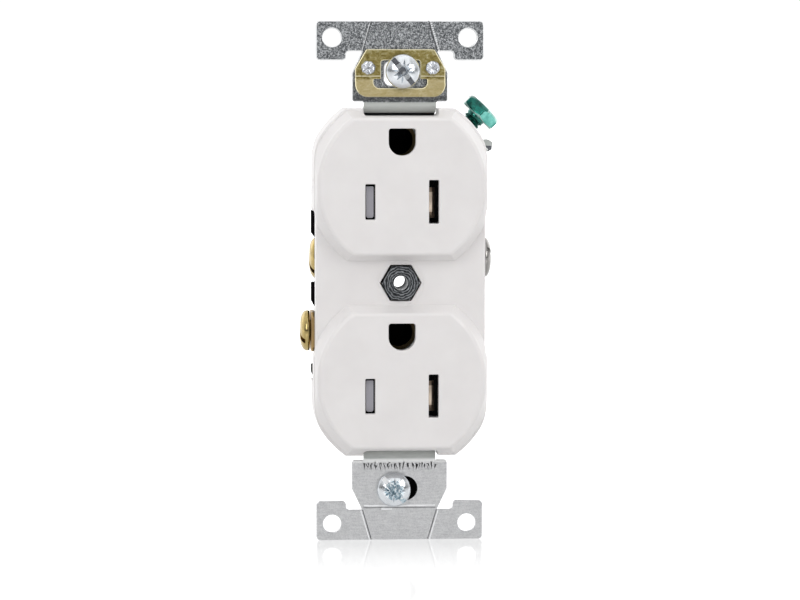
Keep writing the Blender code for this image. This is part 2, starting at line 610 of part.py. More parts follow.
def make_terminals():
    for side, pole, mat, plate_mat in ((-1, "hot", "brass_screw", "contact_brass"), (1, "neutral", "silver_screw", "plated_brass")):
        for level, z in zip(("upper", "lower"), TERM_Z):
            key = f"{pole}_{level}"
            out = BACKED_OUT[key]
            axis = (side, 0, 0)
            c = (0, TERM_Y, z)
            u = HEAD_X + out
            prof = [(0, u - 7.7), (1.4, u - 7.7), (TERM_SHANK_R, u - 7.0), (TERM_SHANK_R, u), (TERM_HEAD_R, u), (TERM_HEAD_R, u + 1.1),
                    (3.3, u + 1.7), (1.6, u + TERM_HEAD_T), (0, u + TERM_HEAD_T)]
            screw = turned(key, prof, c, axis, 24)
            slotted(screw, (side * (u + TERM_HEAD_T), TERM_Y, z), axis, (0, 1, 0.6), 1.1, 0.9)
            finish(screw, f"terminal_screw_{key}", mat, (side * u, TERM_Y, z), smooth=True)
            p0, p1 = sorted((side * (PLATE_X + out), side * (PLATE_X + out + PLATE_T)))
            half = 4.0
            ch = 0.9
            pts = [(TERM_Y - half + ch, z - half), (TERM_Y + half - ch, z - half), (TERM_Y + half, z - half + ch), (TERM_Y + half, z + half - ch),
                   (TERM_Y + half - ch, z + half), (TERM_Y - half + ch, z + half), (TERM_Y - half, z + half - ch), (TERM_Y - half, z - half + ch)]
            plate = prism("plate", pts, p0, p1, "X")
            cut(plate, rod("hole", (0, TERM_Y, z), (1, 0, 0), TERM_SHANK_R + 0.3, p0 - 1, p1 + 1, 20))
            finish(plate, f"pressure_plate_{key}", plate_mat, ((p0 + p1) / 2, TERM_Y, z))


# ---------------------------------------------------------------- shutters
def make_shutters():
    for tag, zc in (("upper", SLOT_Z[0]), ("lower", SLOT_Z[1])):
        f, r = SHUTTER_FRONT_Y, SHUTTER_REAR_Y
        pts = [(-11.6, f), (-3.2, f), (-1.6, -2.1), (8.3, -2.1), (8.3, -4.0), (9.0, -4.0), (9.0, r), (-11.6, r)]
        slider = prism("slider", pts, zc - 4.8, zc + 4.8, "Z")
        cut(slider,
            box("hot_window", -10.35, -7.95, -6, 0, zc - 3.9, zc + 3.9),
            box("neutral_window", 2.3, 4.8, -6, 0, zc - 4.5, zc + 4.5))
        finish(slider, f"shutter_{tag}", "shutter_grey", (0, r, zc))
        # bronze cam leaf bowed towards the slot, lying on the slider's right arm
        n = 8
        rows = []
        for i in range(n + 1):
            z = zc - 4.3 + 8.6 * i / n
            y = -2.4 - 1.1 * math.cos(math.pi * (z - zc) / 8.6)
            rows.append([(4.95, y - 0.3, z), (8.0, y - 0.3, z), (8.0, y, z), (4.95, y, z)])
        finish(ring_solid("leaf", rows), f"shutter_leaf_{tag}", "bronze_leaf", (0, r, zc))
        # guide tray
        base = box("base", -13.0, 14.9, -1.2, -0.2, zc - 5.1, zc + 5.1)
        join(base,
             box("stop", -13.0, -12.0, -4.6, -0.7, zc - 4.6, zc + 4.6),
             box("wall", 13.9, 14.9, -4.6, -0.7, zc - 1.6, zc + 4.6))
        cut(base,
            box("w1", -SLOT_X - 1.7, -SLOT_X + 1.7, -3, 1, zc - 4.7, zc + 4.7),
            box("w2", SLOT_X - 1.7, SLOT_X + 1.7, -3, 1, zc - 4.7, zc + 4.7))
        finish(base, f"shutter_base_{tag}", "base_nylon")
        # return spring between the slider and the tray's end wall
        wire, coil, turns, per, sides = 0.15, 0.9, 4.5, 8, 4
        x0, x1 = 9.3 + wire, 13.6 - wire
        count = int(turns * per)
        rings = []
        cy, cz = -2.75, zc + 0.5
        for i in range(count + 1):
            a = math.tau * i / per
            x = x0 + (x1 - x0) * i / count
            radial = Vector((0, math.cos(a), math.sin(a)))
            centre = Vector((x, cy, cz)) + radial * coil
            rings.append([centre + radial * (wire * math.cos(b)) + Vector((1, 0, 0)) * (wire * math.sin(b)) for b in (math.tau * q / sides for q in range(sides))])
        finish(ring_solid("spring", rings), f"shutter_spring_{tag}", "spring_steel", smooth=True)


def make_assembly_screws():
    for name, (x, z) in zip(("assembly_screw_upper", "assembly_screw_lower"), ASSEMBLY_XZ):
        prof = [(0, -2.6), (0.7, -2.6), (1.2, -1.6), (1.2, 20.3), (2.45, 20.3), (2.45, 21.3), (1.8, 21.8), (0, 21.8)]
        screw = turned(name, prof, (x, 0, z), (0, 1, 0), 16)
        slotted(screw, (x, 21.8, z), (0, 1, 0), (1, 0, 0.4), 0.8, 0.8, 6.4)
        finish(screw, name, "zinc_screw", (x, 0, z), smooth=True)


make_cover()
make_body()
make_strap()
make_clip()
make_post()
make_box_screws()
make_ground_screw()
make_contacts()
make_terminals()
make_shutters()
make_assembly_screws()
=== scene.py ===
"""Looks of the duplex wall outlet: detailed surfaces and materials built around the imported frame.

Lengths in this file are millimetres, scaled to metres by MM, in the frame's own axes:
+Z up, the outlet faces look towards -Y, the origin is the middle of the strap's front plane.
"""

import json
import math

import bmesh
import bpy
from mathutils import Matrix, Vector, noise


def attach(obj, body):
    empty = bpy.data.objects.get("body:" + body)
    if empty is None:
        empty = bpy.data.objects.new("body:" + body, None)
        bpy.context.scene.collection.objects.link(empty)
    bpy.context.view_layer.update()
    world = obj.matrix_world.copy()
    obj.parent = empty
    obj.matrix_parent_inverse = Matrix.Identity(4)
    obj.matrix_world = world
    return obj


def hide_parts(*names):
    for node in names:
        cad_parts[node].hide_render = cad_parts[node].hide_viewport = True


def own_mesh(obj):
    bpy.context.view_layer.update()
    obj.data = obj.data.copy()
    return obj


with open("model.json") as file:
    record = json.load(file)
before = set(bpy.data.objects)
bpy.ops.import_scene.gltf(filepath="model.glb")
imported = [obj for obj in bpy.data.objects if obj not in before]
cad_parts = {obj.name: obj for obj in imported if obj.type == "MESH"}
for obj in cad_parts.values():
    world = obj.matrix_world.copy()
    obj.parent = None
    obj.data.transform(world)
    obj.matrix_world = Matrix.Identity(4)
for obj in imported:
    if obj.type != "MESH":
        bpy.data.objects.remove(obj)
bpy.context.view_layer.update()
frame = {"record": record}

MM = 0.001
SCENE = bpy.context.scene
BODY_OF = {n: b for b, ns in frame["record"]["behaviour"]["bodies"].items() for n in ns}

# ------------------------------------------------------------------ dimensions
FACE_Y, MID_Y, COVER_REAR_Y, SKIRT_REAR_Y, FACE_T = -6.75, -3.0, 3.3, 9.5, 1.75
BODY_FRONT_Y, BODY_REAR_Y = 5.2, 22.0
LOBE_Z = 19.45
LOBE_R, LOBE_HX, LOBE_HZ = 19.0, 17.45, 15.45
FLAT_R, FLAT_HX, FLAT_HZ = 16.2, 16.18, 13.15
MID_HX, SCOOP_R = 17.0, 4.7
SLOT_X, SLOT_Z, SLOT_W = 6.35, (16.45, -22.45), 2.0
HOT_LEN, NEUTRAL_LEN, GROUND_UP, GROUND_R = 7.1, 8.7, 11.9, 2.7
STRAP_T, STRAP_HALF, EAR_HX = 1.27, 52.4, 16.85
EAR_HOLE = (13.65, 49.05, 1.8)
SLOT_CENTRE_Z, STRAP_SLOT = 41.9, (7.2, 4.8)
LEAF_Y, NECK_Z, NECK_HX, BEND_R = 3.63, 34.585, 7.3, 1.25
HEX_AF, POST_HOLE_R, POST_FRONT_Y = 7.0, 1.4, -3.4
TERM_Z, TERM_Y = (4.24, -10.64), 10.0
TERM_SHANK_R, TERM_HEAD_R, TERM_HEAD_T = 2.08, 4.15, 1.95
STRIP_X, PLATE_X, PLATE_T, HEAD_X = 14.55, 14.85, 0.8, 15.9
BACKED_OUT = {"hot_upper": 0.0, "hot_lower": 1.9, "neutral_upper": 1.5, "neutral_lower": 0.0}
GND_T, GND_Y, EAR_N, GND_HEAD_N, GND_HEAD_T, GND_AF = 11.95, 8.3, (30.33, 31.6), 34.75, 2.75, 7.6
SCREW_R, SCREW_HEAD_R, SCREW_LEN = 1.75, 3.45, 22.0
TOP_SCREW, BOTTOM_SCREW = (0.4, 42.3), (-1.2, -42.1)
PITCH = 0.79375
ASSEMBLY_XZ = ((-9.3, 30.1), (9.3, -30.1))
N_AXIS = Vector((1, 0, 1)).normalized()
AREA_LIGHTS = []


def nt(n, t):
    return ((n - t) / math.sqrt(2), (n + t) / math.sqrt(2))


# ------------------------------------------------------------------ mesh tools
def add_object(name, bm, recalc=True):
    """A bmesh in millimetres becomes an object in metres."""
    if recalc:
        bmesh.ops.recalc_face_normals(bm, faces=bm.faces)
    bmesh.ops.scale(bm, vec=(MM, MM, MM), verts=bm.verts)
    mesh = bpy.data.meshes.new(name)
    bm.to_mesh(mesh)
    bm.free()
    ob = bpy.data.objects.new(name, mesh)
    SCENE.collection.objects.link(ob)
    return ob


def loft(name, rings, closed=False):
    """Skin equal rings of points; capped at both ends, or closed on itself."""
    bm = bmesh.new()
    rows = [[bm.verts.new(p) for p in ring] for ring in rings]
    n = len(rows[0])
    pairs = list(zip(rows, rows[1:]))
    if closed:
        pairs.append((rows[-1], rows[0]))
    for a, b in pairs:
        for i in range(n):
            j = (i + 1) % n
            bm.faces.new((a[i], a[j], b[j], b[i]))
    if not closed:
        bm.faces.new(rows[0])
        bm.faces.new(rows[-1])
    return add_object(name, bm)


def at(axis, u, v, w):
    return {"Y": (u, w, v), "X": (w, u, v), "Z": (u, v, w)}[axis]


def prism(name, pts, lo, hi, axis="Y"):
    return loft(name, [[at(axis, u, v, lo) for u, v in pts], [at(axis, u, v, hi) for u, v in pts]])


def box(name, x0, x1, y0, y1, z0, z1):
    return prism(name, [(x0, z0), (x1, z0), (x1, z1), (x0, z1)], y0, y1)


def rrect(x0, x1, z0, z1, r, d=0.0, seg=6):
    """Rectangle with rounded corners, grown by d; r is one radius or four (low-left, low-right, high-right, high-left)."""
    radii = r if hasattr(r, "__len__") else (r,) * 4
    x0, x1, z0, z1 = x0 - d, x1 + d, z0 - d, z1 + d
    out = []
    for (cx, cz, a0), rad in zip(((x0, z0, math.pi), (x1, z0, 1.5 * math.pi), (x1, z1, 0.0), (x0, z1, 0.5 * math.pi)), radii):
        rad = max(0.02, rad + d)
        sx = 1 if cx == x0 else -1
        sz = 1 if cz == z0 else -1
        for k in range(seg + 1):
            a = a0 + math.pi / 2 * k / seg
            out.append((cx + sx * rad + rad * math.cos(a), cz + sz * rad + rad * math.sin(a)))
    return out


def circle(cx, cz, r, seg=48, d=0.0, turn=0.0):
    return [(cx + (r + d) * math.cos(turn + math.tau * k / seg), cz + (r + d) * math.sin(turn + math.tau * k / seg)) for k in range(seg)]


def eased_cutter(name, outline, y_face, y_deep, rad=0.18, steps=4, axis="Y", back=None):
    """Cutter whose mouth rounds the edge it leaves. outline(d) is the hole grown by d. back is a far face that is rounded too."""
    sign = 1.0 if y_deep > y_face else -1.0
    rings = [(y_face - sign * 0.6, rad)]
    for k in range(steps + 1):
        a = math.pi / 2 * k / steps
        rings.append((y_face + sign * (0.001 + rad * (1 - math.cos(a))), rad * (1 - math.sin(a))))
    if back is None:
        rings.append((y_deep, 0.0))
    else:
        for k in range(steps + 1):
            a = math.pi / 2 * k / steps
            rings.append((back - sign * (0.001 + rad * (1 - math.sin(a))), rad * (1 - math.cos(a))))
        rings.append((back + sign * 0.6, rad))
    return loft(name, [[at(axis, u, v, y) for u, v in outline(d)] for y, d in rings])


def frame_of(centre, axis):
    rot = Vector((0, 0, 1)).rotation_difference(Vector(axis).normalized()).to_matrix()
    return Vector(centre), rot


def turned(name, profile, centre, axis, seg=64, turn=0.0):
    """Solid of revolution; profile is (radius, height). A row may carry a third value, the depth of a helical thread there."""
    centre, rot = frame_of(centre, axis)
    bm = bmesh.new()
    rows = []
    for item in profile:
        r, h = item[0], item[1]
        depth = item[2] if len(item) > 2 else 0.0
        if r == 0:
            rows.append([bm.verts.new(centre + rot @ Vector((0, 0, h)))])
            continue
        row = []
        for i in range(seg):
            a = turn + math.tau * i / seg
            rr = r
            if depth:
                f = (h / PITCH - i / seg) % 1.0
                tooth = abs(f - 0.5) * 2.0
                tooth = min(1.0, max(0.0, (tooth - 0.1) / 0.78))
                rr = r - depth * (1.0 - tooth)
            row.append(bm.verts.new(centre + rot @ Vector((rr * math.cos(a), rr * math.sin(a), h))))
        rows.append(row)
    pairs = list(zip(rows, rows[1:]))
    if len(rows[0]) > 1:
        pairs.append((rows[-1], rows[0]))
    for a, b in pairs:
        for i in range(seg):
            j = (i + 1) % seg
            if len(a) == 1:
                bm.faces.new((a[0], b[j], b[i]))
            elif len(b) == 1:
                bm.faces.new((a[i], a[j], b[0]))
            else:
                bm.faces.new((a[i], a[j], b[j], b[i]))
    return add_object(name, bm)


def rod(name, centre, axis, r, h0, h1, seg=48, turn=0.0):
    return turned(name, [(0, h0), (r, h0), (r, h1), (0, h1)], centre, axis, seg, turn)


def rounded(profile, radii, steps=5):
    """Round the corners of an open (radius, height) profile; radii maps a corner's index to its radius."""
    out = []
    for i, p in enumerate(profile):
        rad = radii.get(i, 0)
        if not rad or i in (0, len(profile) - 1):
            out.append(p)
            continue
        p0, p1, p2 = (Vector(profile[i - 1]), Vector(p), Vector(profile[i + 1]))
        u, v = (p0 - p1), (p2 - p1)
        lu, lv = u.length, v.length
        u.normalize()
        v.normalize()
        half = math.acos(max(-1, min(1, u.dot(v)))) / 2
        d = min(rad / math.tan(half), lu * 0.49, lv * 0.49)
        r = d * math.tan(half)
        c = p1 + (u + v).normalized() * (r / math.sin(half))
        a, b = p1 + u * d - c, p1 + v * d - c
        for k in range(steps + 1):
            t = k / steps
            w = a.slerp(b, t) if a.length > 1e-9 and b.length > 1e-9 else a
            out.append(tuple(c + w.normalized() * r))
    return out


def thread_rows(r, depth, h0, h1, fade0=1.0, fade1=0.8, per=9):
    """Rows for a helical thread of outer radius r between two heights; it fades out at both ends."""
    n = max(2, int(abs(h1 - h0) / PITCH * per))
    rows = []
    for k in range(n + 1):
        h = h0 + (h1 - h0) * k / n
        f = min(1.0, abs(h - h0) / fade0 + 0.15, abs(h1 - h) / fade1)
        rows.append((r, h, depth * max(0.0, f)))
    return rows


def apply_all(ob):
    bpy.context.view_layer.update()
    graph = bpy.context.evaluated_depsgraph_get()
    mesh = bpy.data.meshes.new_from_object(ob.evaluated_get(graph))
    ob.modifiers.clear()
    ob.data = mesh
    return ob


def clean(ob, dist=3e-7):
    bm = bmesh.new()
    bm.from_mesh(ob.data)
    bmesh.ops.remove_doubles(bm, verts=bm.verts, dist=dist)
    bmesh.ops.dissolve_degenerate(bm, edges=bm.edges, dist=dist)
    bm.to_mesh(ob.data)
    bm.free()
    return ob


def booleans(ob, operation, others):
    for other in others:
        other.hide_render = True
        mod = ob.modifiers.new(other.name, "BOOLEAN")
        mod.operation = operation
        mod.solver = "EXACT"
        mod.object = other
    apply_all(ob)
    for other in others:
        bpy.data.objects.remove(other, do_unlink=True)
    return clean(ob)


def join(ob, *others):
    return booleans(ob, "UNION", others)


def cut(ob, *others):
    return booleans(ob, "DIFFERENCE", others)


def bevel(ob, width, segments=2, angle=40, clamp=True):
    mod = ob.modifiers.new("edge", "BEVEL")
    mod.width = width * MM
    mod.segments = segments
    mod.limit_method = "ANGLE"
    mod.angle_limit = math.radians(angle)
    mod.use_clamp_overlap = clamp
    mod.miter_outer = "MITER_ARC"
    return apply_all(ob)


def reshape(ob, fn):
    """Move each vertex of ob, given and returned in millimetres."""
    for v in ob.data.vertices:
        v.co = Vector(fn(v.co / MM)) * MM
    ob.data.update()
    return ob


def merge(name, *objects):
    """Several closed shells of one piece in one object."""
    bm = bmesh.new()
    for ob in objects:
        bm.from_mesh(ob.data)
        bpy.data.objects.remove(ob, do_unlink=True)
    mesh = bpy.data.meshes.new(name)
    bm.to_mesh(mesh)
    bm.free()
    out = bpy.data.objects.new(name, mesh)
    SCENE.collection.objects.link(out)
    return out


def place(ob, name, node, mat, angle=35, weighted=True):
    """The finished surface of a CAD node: material, shading and body."""
    ob.name = name
    ob.data.name = name
    ob.data.materials.clear()
    ob.data.materials.append(mat)
    for p in ob.data.polygons:
        p.material_index = 0
    ob.data.shade_smooth()
    ob.data.set_sharp_from_angle(angle=math.radians(angle))
    if weighted:
        mod = ob.modifiers.new("normals", "WEIGHTED_NORMAL")
        mod.keep_sharp = True
        mod.weight = 80
    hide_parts(node)
    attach(ob, BODY_OF[node])
    return ob


# ------------------------------------------------------------------ materials
class Mat:
    """A node material built step by step around one Principled shader."""

    def __init__(self, name, colour, rough, metal=0.0, specular=0.5, ior=1.45):
        self.mat = bpy.data.materials.new(name)
        self.mat.use_nodes = True
        self.t = self.mat.node_tree
        self.p = self.t.nodes["Principled BSDF"]
        self.p.inputs["Base Color"].default_value = (*colour, 1)
        self.p.inputs["Roughness"].default_value = rough
        self.p.inputs["Metallic"].default_value = metal
        self.p.inputs["Specular IOR Level"].default_value = specular
        self.p.inputs["IOR"].default_value = ior
        self.co = self.t.nodes.new("ShaderNodeTexCoord").outputs["Object"]

    def new(self, kind, **values):
        n = self.t.nodes.new(kind)
        for k, v in values.items():
            setattr(n, k, v)
        return n

    def link(self, a, b):
        self.t.links.new(a, b)

    def mapped(self, scale=(1, 1, 1), rot=(0, 0, 0), loc=(0, 0, 0)):
        n = self.new("ShaderNodeMapping")
        n.inputs["Scale"].default_value = scale
        n.inputs["Rotation"].default_value = rot
        n.inputs["Location"].default_value = loc
        self.link(self.co, n.inputs["Vector"])
        return n.outputs["Vector"]

    def noise(self, scale, detail=3.0, rough=0.55, vector=None, distortion=0.0):
        n = self.new("ShaderNodeTexNoise")
        n.inputs["Scale"].default_value = scale
        n.inputs["Detail"].default_value = detail
        n.inputs["Roughness"].default_value = rough
        n.inputs["Distortion"].default_value = distortion
        self.link(vector or self.co, n.inputs["Vector"])
        return n.outputs["Fac"]

    def cells(self, scale, feature="F1", out="Color", vector=None, randomness=1.0):
        n = self.new("ShaderNodeTexVoronoi", feature=feature)
        n.inputs["Scale"].default_value = scale
        n.inputs["Randomness"].default_value = randomness
        self.link(vector or self.co, n.inputs["Vector"])
        return n.outputs[out]

    def ramp(self, fac, stops):
        n = self.new("ShaderNodeValToRGB")
        e = n.color_ramp.elements
        while len(e) < len(stops):
            e.new(0.5)
        for item, (pos, col) in zip(e, stops):
            item.position = pos
            item.color = (*col, 1) if hasattr(col, "__len__") else (col, col, col, 1)
        self.link(fac, n.inputs["Fac"])
        return n.outputs["Color"]

    def mix(self, a, b, fac, kind="MIX"):
        n = self.new("ShaderNodeMix", data_type="RGBA", blend_type=kind)
        for sock, val in ((n.inputs[6], a), (n.inputs[7], b), (n.inputs[0], fac)):
            if isinstance(val, (int, float)):
                sock.default_value = val
            elif isinstance(val, tuple):
                sock.default_value = (*val, 1)
            else:
                self.link(val, sock)
        return n.outputs[2]

    def span(self, fac, lo, hi, a=0.0, b=1.0):
        n = self.new("ShaderNodeMapRange")
        n.inputs["From Min"].default_value = a
        n.inputs["From Max"].default_value = b
        n.inputs["To Min"].default_value = lo
        n.inputs["To Max"].default_value = hi
        self.link(fac, n.inputs["Value"])
        return n.outputs["Result"]

    def math(self, op, a, b=None):
        n = self.new("ShaderNodeMath", operation=op)
        for sock, val in zip(n.inputs, (a, b)):
            if val is None:
                continue
            if isinstance(val, (int, float)):
                sock.default_value = val
            else:
                self.link(val, sock)
        return n.outputs[0]

    def axis(self, k):
        n = self.new("ShaderNodeSeparateXYZ")
        self.link(self.co, n.inputs[0])
        return n.outputs[k]

    def colour(self, socket):
        self.link(socket, self.p.inputs["Base Color"])
        return self

    def rough(self, socket):
        self.link(socket, self.p.inputs["Roughness"])
        return self

    def bump(self, height, distance, strength=1.0):
        """distance is the relief in millimetres."""
        n = self.new("ShaderNodeBump")
        n.inputs["Strength"].default_value = strength
        n.inputs["Distance"].default_value = distance * MM
        self.link(height, n.inputs["Height"])
        prev = self.p.inputs["Normal"]
        if prev.is_linked:
            self.link(prev.links[0].from_socket, n.inputs["Normal"])
        self.link(n.outputs["Normal"], prev)
        return self


def white_nylon():
    m = Mat("cover_nylon", (0.80, 0.78, 0.775), 0.36, 0.0, 0.45, 1.5)
    m.colour(m.ramp(m.noise(140, 3), [(0.3, (0.775, 0.752, 0.748)), (0.7, (0.815, 0.795, 0.79))]))
    m.rough(m.span(m.noise(2400, 4), 0.31, 0.43))
    m.bump(m.noise(5200, 3, 0.6), 0.004, 0.5)
    m.bump(m.noise(420, 2), 0.006, 0.35)
    m.p.inputs["Subsurface Weight"].default_value = 0.04
    m.p.inputs["Subsurface Radius"].default_value = (0.0012, 0.0010, 0.0008)
    m.p.inputs["Subsurface Scale"].default_value = 1.0
    return m.mat


def plastic(name, colour, rough=0.42, grain=3200, relief=0.006, vary=0.25, specular=0.5):
    m = Mat(name, colour, rough, 0.0, specular, 1.48)
    lo = tuple(c * (1 - vary) for c in colour)
    hi = tuple(c * (1 + vary) for c in colour)
    m.colour(m.ramp(m.noise(300, 4), [(0.3, lo), (0.7, hi)]))
    m.rough(m.span(m.noise(1700, 4), rough - 0.07, rough + 0.09))
    m.bump(m.noise(grain, 3, 0.6), relief, 0.6)
    return m.mat


def galvanised():
    """Zinc spangle: salt and pepper crystals of a quarter of a millimetre under wider, fainter ones; the drawn bends
    are smoother and carry painted light and a painted highlight, and painted shade lies where the strap meets the cover
    and under the clip.
    """
    m = Mat("strap_zinc", (0.5, 0.51, 0.52), 0.38, 1.0)

    def grey(colour):
        n = m.new("ShaderNodeRGBToBW")
        m.link(colour, n.inputs[0])
        return n.outputs[0]
    fine = grey(m.cells(5200, vector=m.mapped((1.0, 1.0, 0.85), (0.3, 0.2, 0.5))))
    finer = grey(m.cells(8600, vector=m.mapped((1.0, 1.0, 1.2), (0.7, 0.1, 0.2))))
    wide = grey(m.cells(1050))
    cloud = m.noise(520, 4, 0.6)
    drawn = m.noise(2900, 4, 0.6, vector=m.mapped((0.14, 1.0, 1.0)))
    salt = m.math("ADD", m.math("MULTIPLY", fine, 0.6), m.math("MULTIPLY", finer, 0.4))
    # the upper end is darker, with a coarser grain; the lower end is paler and smoother, with faint rolling lines
    z = m.axis(2)
    height = m.span(z, 0.0, 1.0, -0.036, 0.036)
    dark = m.ramp(salt, [(0.24, (0.10, 0.107, 0.116)), (0.5, (0.272, 0.286, 0.30)), (0.70, (0.72, 0.74, 0.76))])
    fleck = m.math("ADD", m.math("MULTIPLY", salt, 0.45), m.math("MULTIPLY", drawn, 0.55))
    pale = m.ramp(fleck, [(0.30, (0.55, 0.555, 0.57)), (0.5, (0.675, 0.68, 0.69)), (0.70, (0.785, 0.79, 0.795))])
    tone = m.mix(pale, dark, height)
    soft = m.ramp(m.math("ADD", m.math("MULTIPLY", wide, 0.5), m.math("MULTIPLY", cloud, 0.5)), [(0.3, 0.84), (0.7, 1.0)])
    tone = m.mix(tone, soft, m.span(height, 0.35, 1.0), "MULTIPLY")
    # burnished, smoother necks whose paler, less metallic tone partly stands in for light on the bends, with a painted
    # highlight where the lower one leaves its plate
    neck = m.span(m.math("ABSOLUTE", z), 1.0, 0.0, 0.03600, 0.03622)
    painted_bend_highlight = m.math("MULTIPLY", m.span(z, 0.0, 1.0, -0.0368, -0.0364), m.span(z, 1.0, 0.0, -0.0361, -0.0357))
    streak = m.ramp(drawn, [(0.3, (0.57, 0.60, 0.58)), (0.7, (0.63, 0.655, 0.635))])
    tone = m.mix(tone, streak, m.math("MULTIPLY", neck, 0.99))
    tone = m.mix(tone, (0.97, 0.98, 0.975), m.math("MULTIPLY", painted_bend_highlight, 0.9))
    burnish_and_highlight = m.math("MAXIMUM", neck, painted_bend_highlight)
    # painted shade where the neck dives under the cover, and painted shadow on the plate below the clip's flange and
    # along the plate's sides beside the clip
    reach = m.math("ABSOLUTE", z)
    under = m.math("MULTIPLY", m.span(m.axis(1), 0.0, 1.0, 0.0021, 0.0030), m.span(reach, 0.0, 1.0, 0.0325, 0.0332))
    under = m.math("MAXIMUM", under, m.math("MULTIPLY", m.span(m.axis(1), 0.0, 1.0, 0.0014, 0.0022), m.span(z, 1.0, 0.0, -0.0332, -0.0325)))
    low = m.math("MULTIPLY", m.span(z, 1.0, 0.0, 0.0372, 0.0380), m.span(z, 0.0, 1.0, 0.0361, 0.0363))
    flank = m.math("MULTIPLY", m.span(m.math("ABSOLUTE", m.axis(0)), 0.0, 1.0, 0.0085, 0.0090), m.math("MULTIPLY", m.span(z, 1.0, 0.0, 0.0400, 0.0430), m.span(z, 0.0, 1.0, 0.0361, 0.0363)))
    shade = m.math("MAXIMUM", m.math("MULTIPLY", under, 0.92), m.math("MULTIPLY", m.math("MAXIMUM", low, m.math("MULTIPLY", flank, 0.8)), 0.62))
    tone = m.mix(tone, (0.07, 0.075, 0.08), shade)
    m.colour(tone)
    m.link(m.span(burnish_and_highlight, 1.0, 0.45), m.p.inputs["Metallic"])
    grain = m.math("MULTIPLY", m.span(salt, 0.28, 0.46, 0.25, 0.75), m.span(burnish_and_highlight, 1.0, 0.0))
    m.rough(m.math("ADD", grain, m.math("MULTIPLY", burnish_and_highlight, 0.33)))
    m.bump(salt, 0.02, 0.5)
    m.bump(cloud, 0.02, 0.4)
    for n in m.t.nodes:
        if n.type == "BUMP":
            m.link(m.span(burnish_and_highlight, 0.5, 0.0), n.inputs["Strength"])
    return m.mat


def passivated_brass():
    """Rolled brass under a yellow passivation, blotched above the fold and smoother along the flange below it; the
    darker tone above the fold and the flange's paler tone are painted reflections of the dark room and the bright floor
    that the two parts face.
    """
    m = Mat("clip_brass", (0.5, 0.4, 0.16), 0.34, 1.0)
    blot = m.noise(1250, 5, 0.7, vector=m.mapped((0.6, 1.0, 1.0)), distortion=0.8)
    fine = m.noise(4600, 4, 0.7)
    above = m.ramp(blot, [(0.30, (0.19, 0.135, 0.035)), (0.5, (0.50, 0.405, 0.14)), (0.68, (0.80, 0.74, 0.43))])
    below = m.ramp(blot, [(0.30, (0.52, 0.42, 0.185)), (0.5, (0.61, 0.51, 0.265)), (0.70, (0.70, 0.61, 0.365))])
    flange = m.span(m.axis(2), 1.0, 0.0, 0.0406, 0.0409)
    col = m.mix(above, below, flange)
    m.colour(m.mix(col, m.ramp(fine, [(0.35, 0.66), (0.6, 1.0)]), m.span(flange, 0.75, 0.25), "MULTIPLY"))
    m.rough(m.span(blot, 0.22, 0.38))
    m.bump(m.math("ADD", blot, m.math("MULTIPLY", fine, 0.6)), 0.016, 0.5)
    return m.mat


def metal(name, colour, rough=0.26, vary=0.12, grain=2600, relief=0.006, brushed=None, tint=None):
    m = Mat(name, colour, rough, 1.0)
    vec = m.mapped(brushed) if brushed else None
    n1 = m.noise(600, 4, 0.6)
    n2 = m.noise(grain, 4, 0.65, vector=vec)
    lo = tuple(max(0, c * (1 - vary)) for c in (tint or colour))
    hi = tuple(min(1, c * (1 + vary)) for c in colour)
    m.colour(m.ramp(n1, [(0.3, lo), (0.7, hi)]))
    m.rough(m.span(m.math("ADD", m.math("MULTIPLY", n1, 0.5), m.math("MULTIPLY", n2, 0.5)), rough - 0.08, rough + 0.12, 0.25, 0.75))
    m.bump(n2, relief, 0.5)
    return m.mat


def turned_steel():
    """Dark free-cutting steel with the lathe's concentric marks, round the Y axis."""
    m = Mat("post_steel", (0.2, 0.21, 0.22), 0.36, 1.0)
    wave = m.new("ShaderNodeTexWave", wave_type="RINGS", rings_direction="Y", wave_profile="SIN")
    wave.inputs["Scale"].default_value = 620
    wave.inputs["Distortion"].default_value = 6.5
    wave.inputs["Detail"].default_value = 4
    wave.inputs["Detail Scale"].default_value = 1.4
    m.link(m.co, wave.inputs["Vector"])
    rings = wave.outputs["Fac"]
    n = m.noise(1500, 4, 0.7)
    both = m.mix(rings, n, 0.6)
    m.colour(m.ramp(both, [(0.30, (0.022, 0.023, 0.026)), (0.52, (0.098, 0.104, 0.112)), (0.72, (0.32, 0.335, 0.35))]))
    m.rough(m.span(n, 0.26, 0.44))
    m.bump(rings, 0.02, 0.7)
    m.bump(n, 0.012, 0.5)
    return m.mat


def speckled_zinc():
    """Blue-white zinc plate with the crystals showing, used in the lower screw's recess."""
    m = Mat("speckled_zinc", (0.6, 0.66, 0.70), 0.3, 0.75)
    cell = m.cells(2600)
    n = m.new("ShaderNodeRGBToBW")
    m.link(cell, n.inputs[0])
    both = m.math("ADD", m.math("MULTIPLY", n.outputs[0], 0.6), m.math("MULTIPLY", m.noise(2100, 4, 0.7), 0.4))
    m.colour(m.ramp(both, [(0.30, (0.17, 0.27, 0.33)), (0.48, (0.52, 0.64, 0.71)), (0.66, (0.95, 0.98, 1.0))]))
    m.rough(m.span(both, 0.22, 0.42))
    m.bump(both, 0.04, 0.6)
    return m.mat


def blacked(name, colour, rough, specular):
    m = Mat(name, colour, rough, 0.0, specular, 1.45)
    m.rough(m.span(m.noise(1700, 4), rough - 0.06, rough + 0.08))
    m.bump(m.noise(3000, 3, 0.6), 0.01, 0.5)
    return m.mat


